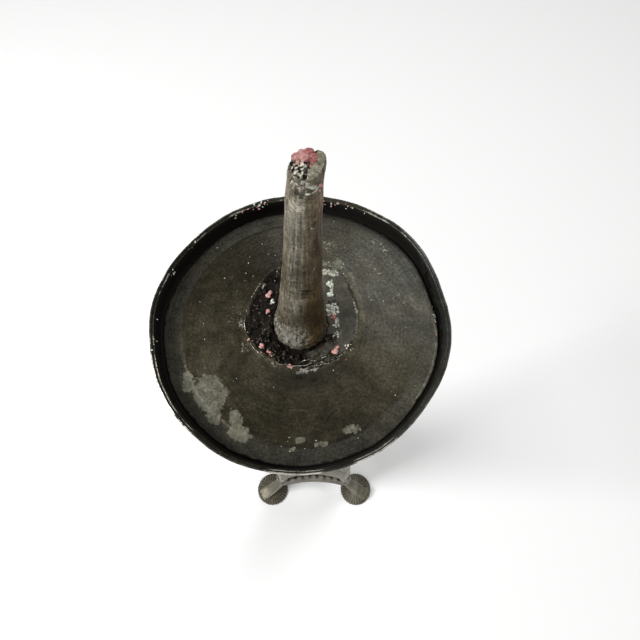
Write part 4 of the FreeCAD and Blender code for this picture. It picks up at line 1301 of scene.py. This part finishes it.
# The turned castings from the plinth up: each node's outline for trace(), and the (radius,
# height) in mm of the mouldings that hands and cloths have rubbed bright.
CASTINGS = {
    "plinth_cap": (((HOLE, 0), (30, 0), (30.6, 1.2), (30, 4), (HOLE, 4)), ((30, 3),)),
    "neck_ring": (((HOLE, 0.2), (24.2, 0.2), (24.2, 1, "bulge", 3.4), (24.4, 7), (24.4, 8),
                   (HOLE, 8)), ((27, 4),)),
    "neck": (((HOLE, 0.2), (24, 0.2), (24, 3), (22.4, 4), (22.4, 6, "hollow", 30), (16.4, 26),
              (17.8, 27.2, "bulge", 2.4), (17.4, 31), (16, 33), (HOLE, 33)),
             ((18.6, 29), (24, 3))),
    "saucer_lower": (((HOLE, 0.2), (16, 0.2), (18, 0.8, "bulge", 27), (36, 9.4), (36.9, 10.4),
                      (36.9, 12), (HOLE, 12)), ((36.9, 11),)),
    "saucer_upper": (((HOLE, 0.1), (35.4, 0.1), (36.4, 0.9), (36.4, 2.4, "bulge", 2.4),
                      (33.4, 5.6), (32.2, 5.2, "hollow", 30), (21, 4), (HOLE, 4)),
                     ((36, 3), (33.4, 5.6))),
    "calyx": (((HOLE, 0.2), (17.4, 0.2), (18.6, 1.2), (18.2, 3.2, "hollow", 64),
               (24.4, CALYX_HEIGHT), (22.4, CALYX_HEIGHT, "bulge", 60), (15.8, 5.2), (HOLE, 5)),
              ((24.2, 41),)),
    "vase_lower": (((HOLE, 0.2), (11, 0.2), (11, 22), (12.6, 24, "bulge", 1.6), (12.6, 26.6),
                    (11, 28), (11, 32, "hollow", 21), (20.6, 47.8, "bulge", 25), (29.6, 64.6),
                    (30.2, 65.2), (30.2, 67), (HOLE, 67)), ((30.2, 66), (13.4, 25))),
    "vase_upper": (((HOLE, 0.1), (30.2, 0.1), (30.2, 1.8), (29.4, 2.6, "bulge", 34), (18.2, 32),
                    (18.6, 33.6, "bulge", 1.2), (17.6, 35.4, "hollow", 22), (12, 50),
                    (HOLE, 50)), ((30.2, 1), (18.6, 34))),
    "knop": (((HOLE, 0.2), (14, 0.2), (14, 2), (14.4, 2.4, "bulge", 8), (14.4, 13.6), (14, 14),
              (14, 16), (HOLE, 16)), ((19, 8),)),
    "baluster_lower": (((HOLE, 0.2), (12, 0.2, "bulge", 22), (18.9, 29.6), (19.4, 30.4),
                        (18.9, 31.4, "bulge", 60), (14, 60), (14.8, 61.2, "bulge", 1.3),
                        (14, 63, "hollow", 62), (11, 88.9), (HOLE, 88.9)),
                       ((21, 20), (14.8, 61.5))),
    "baluster_upper": (((HOLE, 0.1), (11, 0.1, "hollow", 262), (13, 59), (14.2, 60.2),
                        (14.2, 62, "hollow", 16), (16, 69.9), (HOLE, 69.9)), ((14.2, 61),)),
    "upper_collar": (((HOLE, 0.2), (16, 0.2, "bulge", 6.6), (16, 11.9), (HOLE, 11.9)),
                     ((19.4, 6),)),
    "pan_cup": (((HOLE, 0.2), (13, 0.2, "hollow", 14), (18, 10), (18.8, 10.8, "bulge", 29),
                 (31.4, 32.6), (32.2, 33.4), (32.2, 35.8), (HOLE, 35.8)), ((32, 34.6),))}
# How some are carved: a shape rule, a rule that is 1 in the grooves, and segments.
CARVINGS = {"calyx": (leafy, between_leaves, 288), "vase_lower": gadrooned(33, 65, 1.7),
            "vase_upper": gadrooned(3, 31, 1.3), "pan_cup": gadrooned(11, 32, 1.2)}


def make_casting(node, material):
    """A lathed casting standing where its CAD node stands."""
    corners, worn_at = CASTINGS[node]
    shape, groove, segments = CARVINGS.get(node, (None, None, 144))
    largest = max(c[0] for c in corners) * MM

    def wear_and_highlight(angle, r, h):
        rubbed = (0.55 * blend(2.2, 0.3, math.hypot(r / MM - radius, h / MM - height))
                  for radius, height in worn_at)
        return max(0.30 * blend(0.80, 1.0, r / largest), *rubbed) * (0.8 + 0.4 * around(angle, 51, 3))

    def dirt_and_shade(angle, r, h):
        carved = 0.75 * groove(angle, r, h) if groove else 0
        return max(0.35 * blend(0.85, 0.55, r / largest), carved)

    piece = lathe(f"{node}_skin", trace(corners, 0.8, 1.4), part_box(node)[0].z, material,
                  segments, shape, {"wear_and_highlight": wear_and_highlight, "dirt_and_shade": dirt_and_shade})
    settle(piece, "pewter", node)


# ---------------------------------------------------------------- the whole object

# The dark, middle and light tone of each pewter.
STEM_TONES = ((0.082, 0.074, 0.053), (0.155, 0.144, 0.110), (0.245, 0.233, 0.190))
PAN_TONES = ((0.012, 0.0100, 0.0055), (0.027, 0.0232, 0.0134), (0.061, 0.0545, 0.0350))
SPIKE_TONES = ((0.110, 0.098, 0.070), (0.185, 0.170, 0.132), (0.275, 0.262, 0.215))


def paint_carried_nodes(material):
    for node in ("tie_rod", "tie_washer", "tie_nut"):
        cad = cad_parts[node]
        cad.data.materials.clear()
        cad.data.materials.append(material)


def main():
    make_camera()
    make_stage()
    cast = pewter_material("cast_pewter", STEM_TONES, metallic=0.75, roughness=0.54)
    lathed = pewter_material("lathed_pewter", STEM_TONES, metallic=0.75, roughness=0.34,
                             turning=0.6)
    dark = pewter_material("pan_pewter", PAN_TONES, metallic=0.6, roughness=0.40, turning=0.45,
                           mottling=1.35, scratched=0.12)
    spike = pewter_material("pricket_pewter", SPIKE_TONES, metallic=0.5, roughness=0.45,
                            brush=(1.0, 1.0, 0.07))
    make_drip_pan(dark)
    make_crust(crust_material())
    make_torn_lips(dark)
    make_pricket(spike)
    make_wax()
    for side in LEG_ANGLES:
        make_shell_foot(side, cast)
        make_leg(side, cast)
    for side in SIDE_ANGLES:
        make_apron(side, cast)
        make_plinth_panel(side, cast)
    for node in CASTINGS:
        make_casting(node, lathed)
    paint_carried_nodes(iron_material())


main()
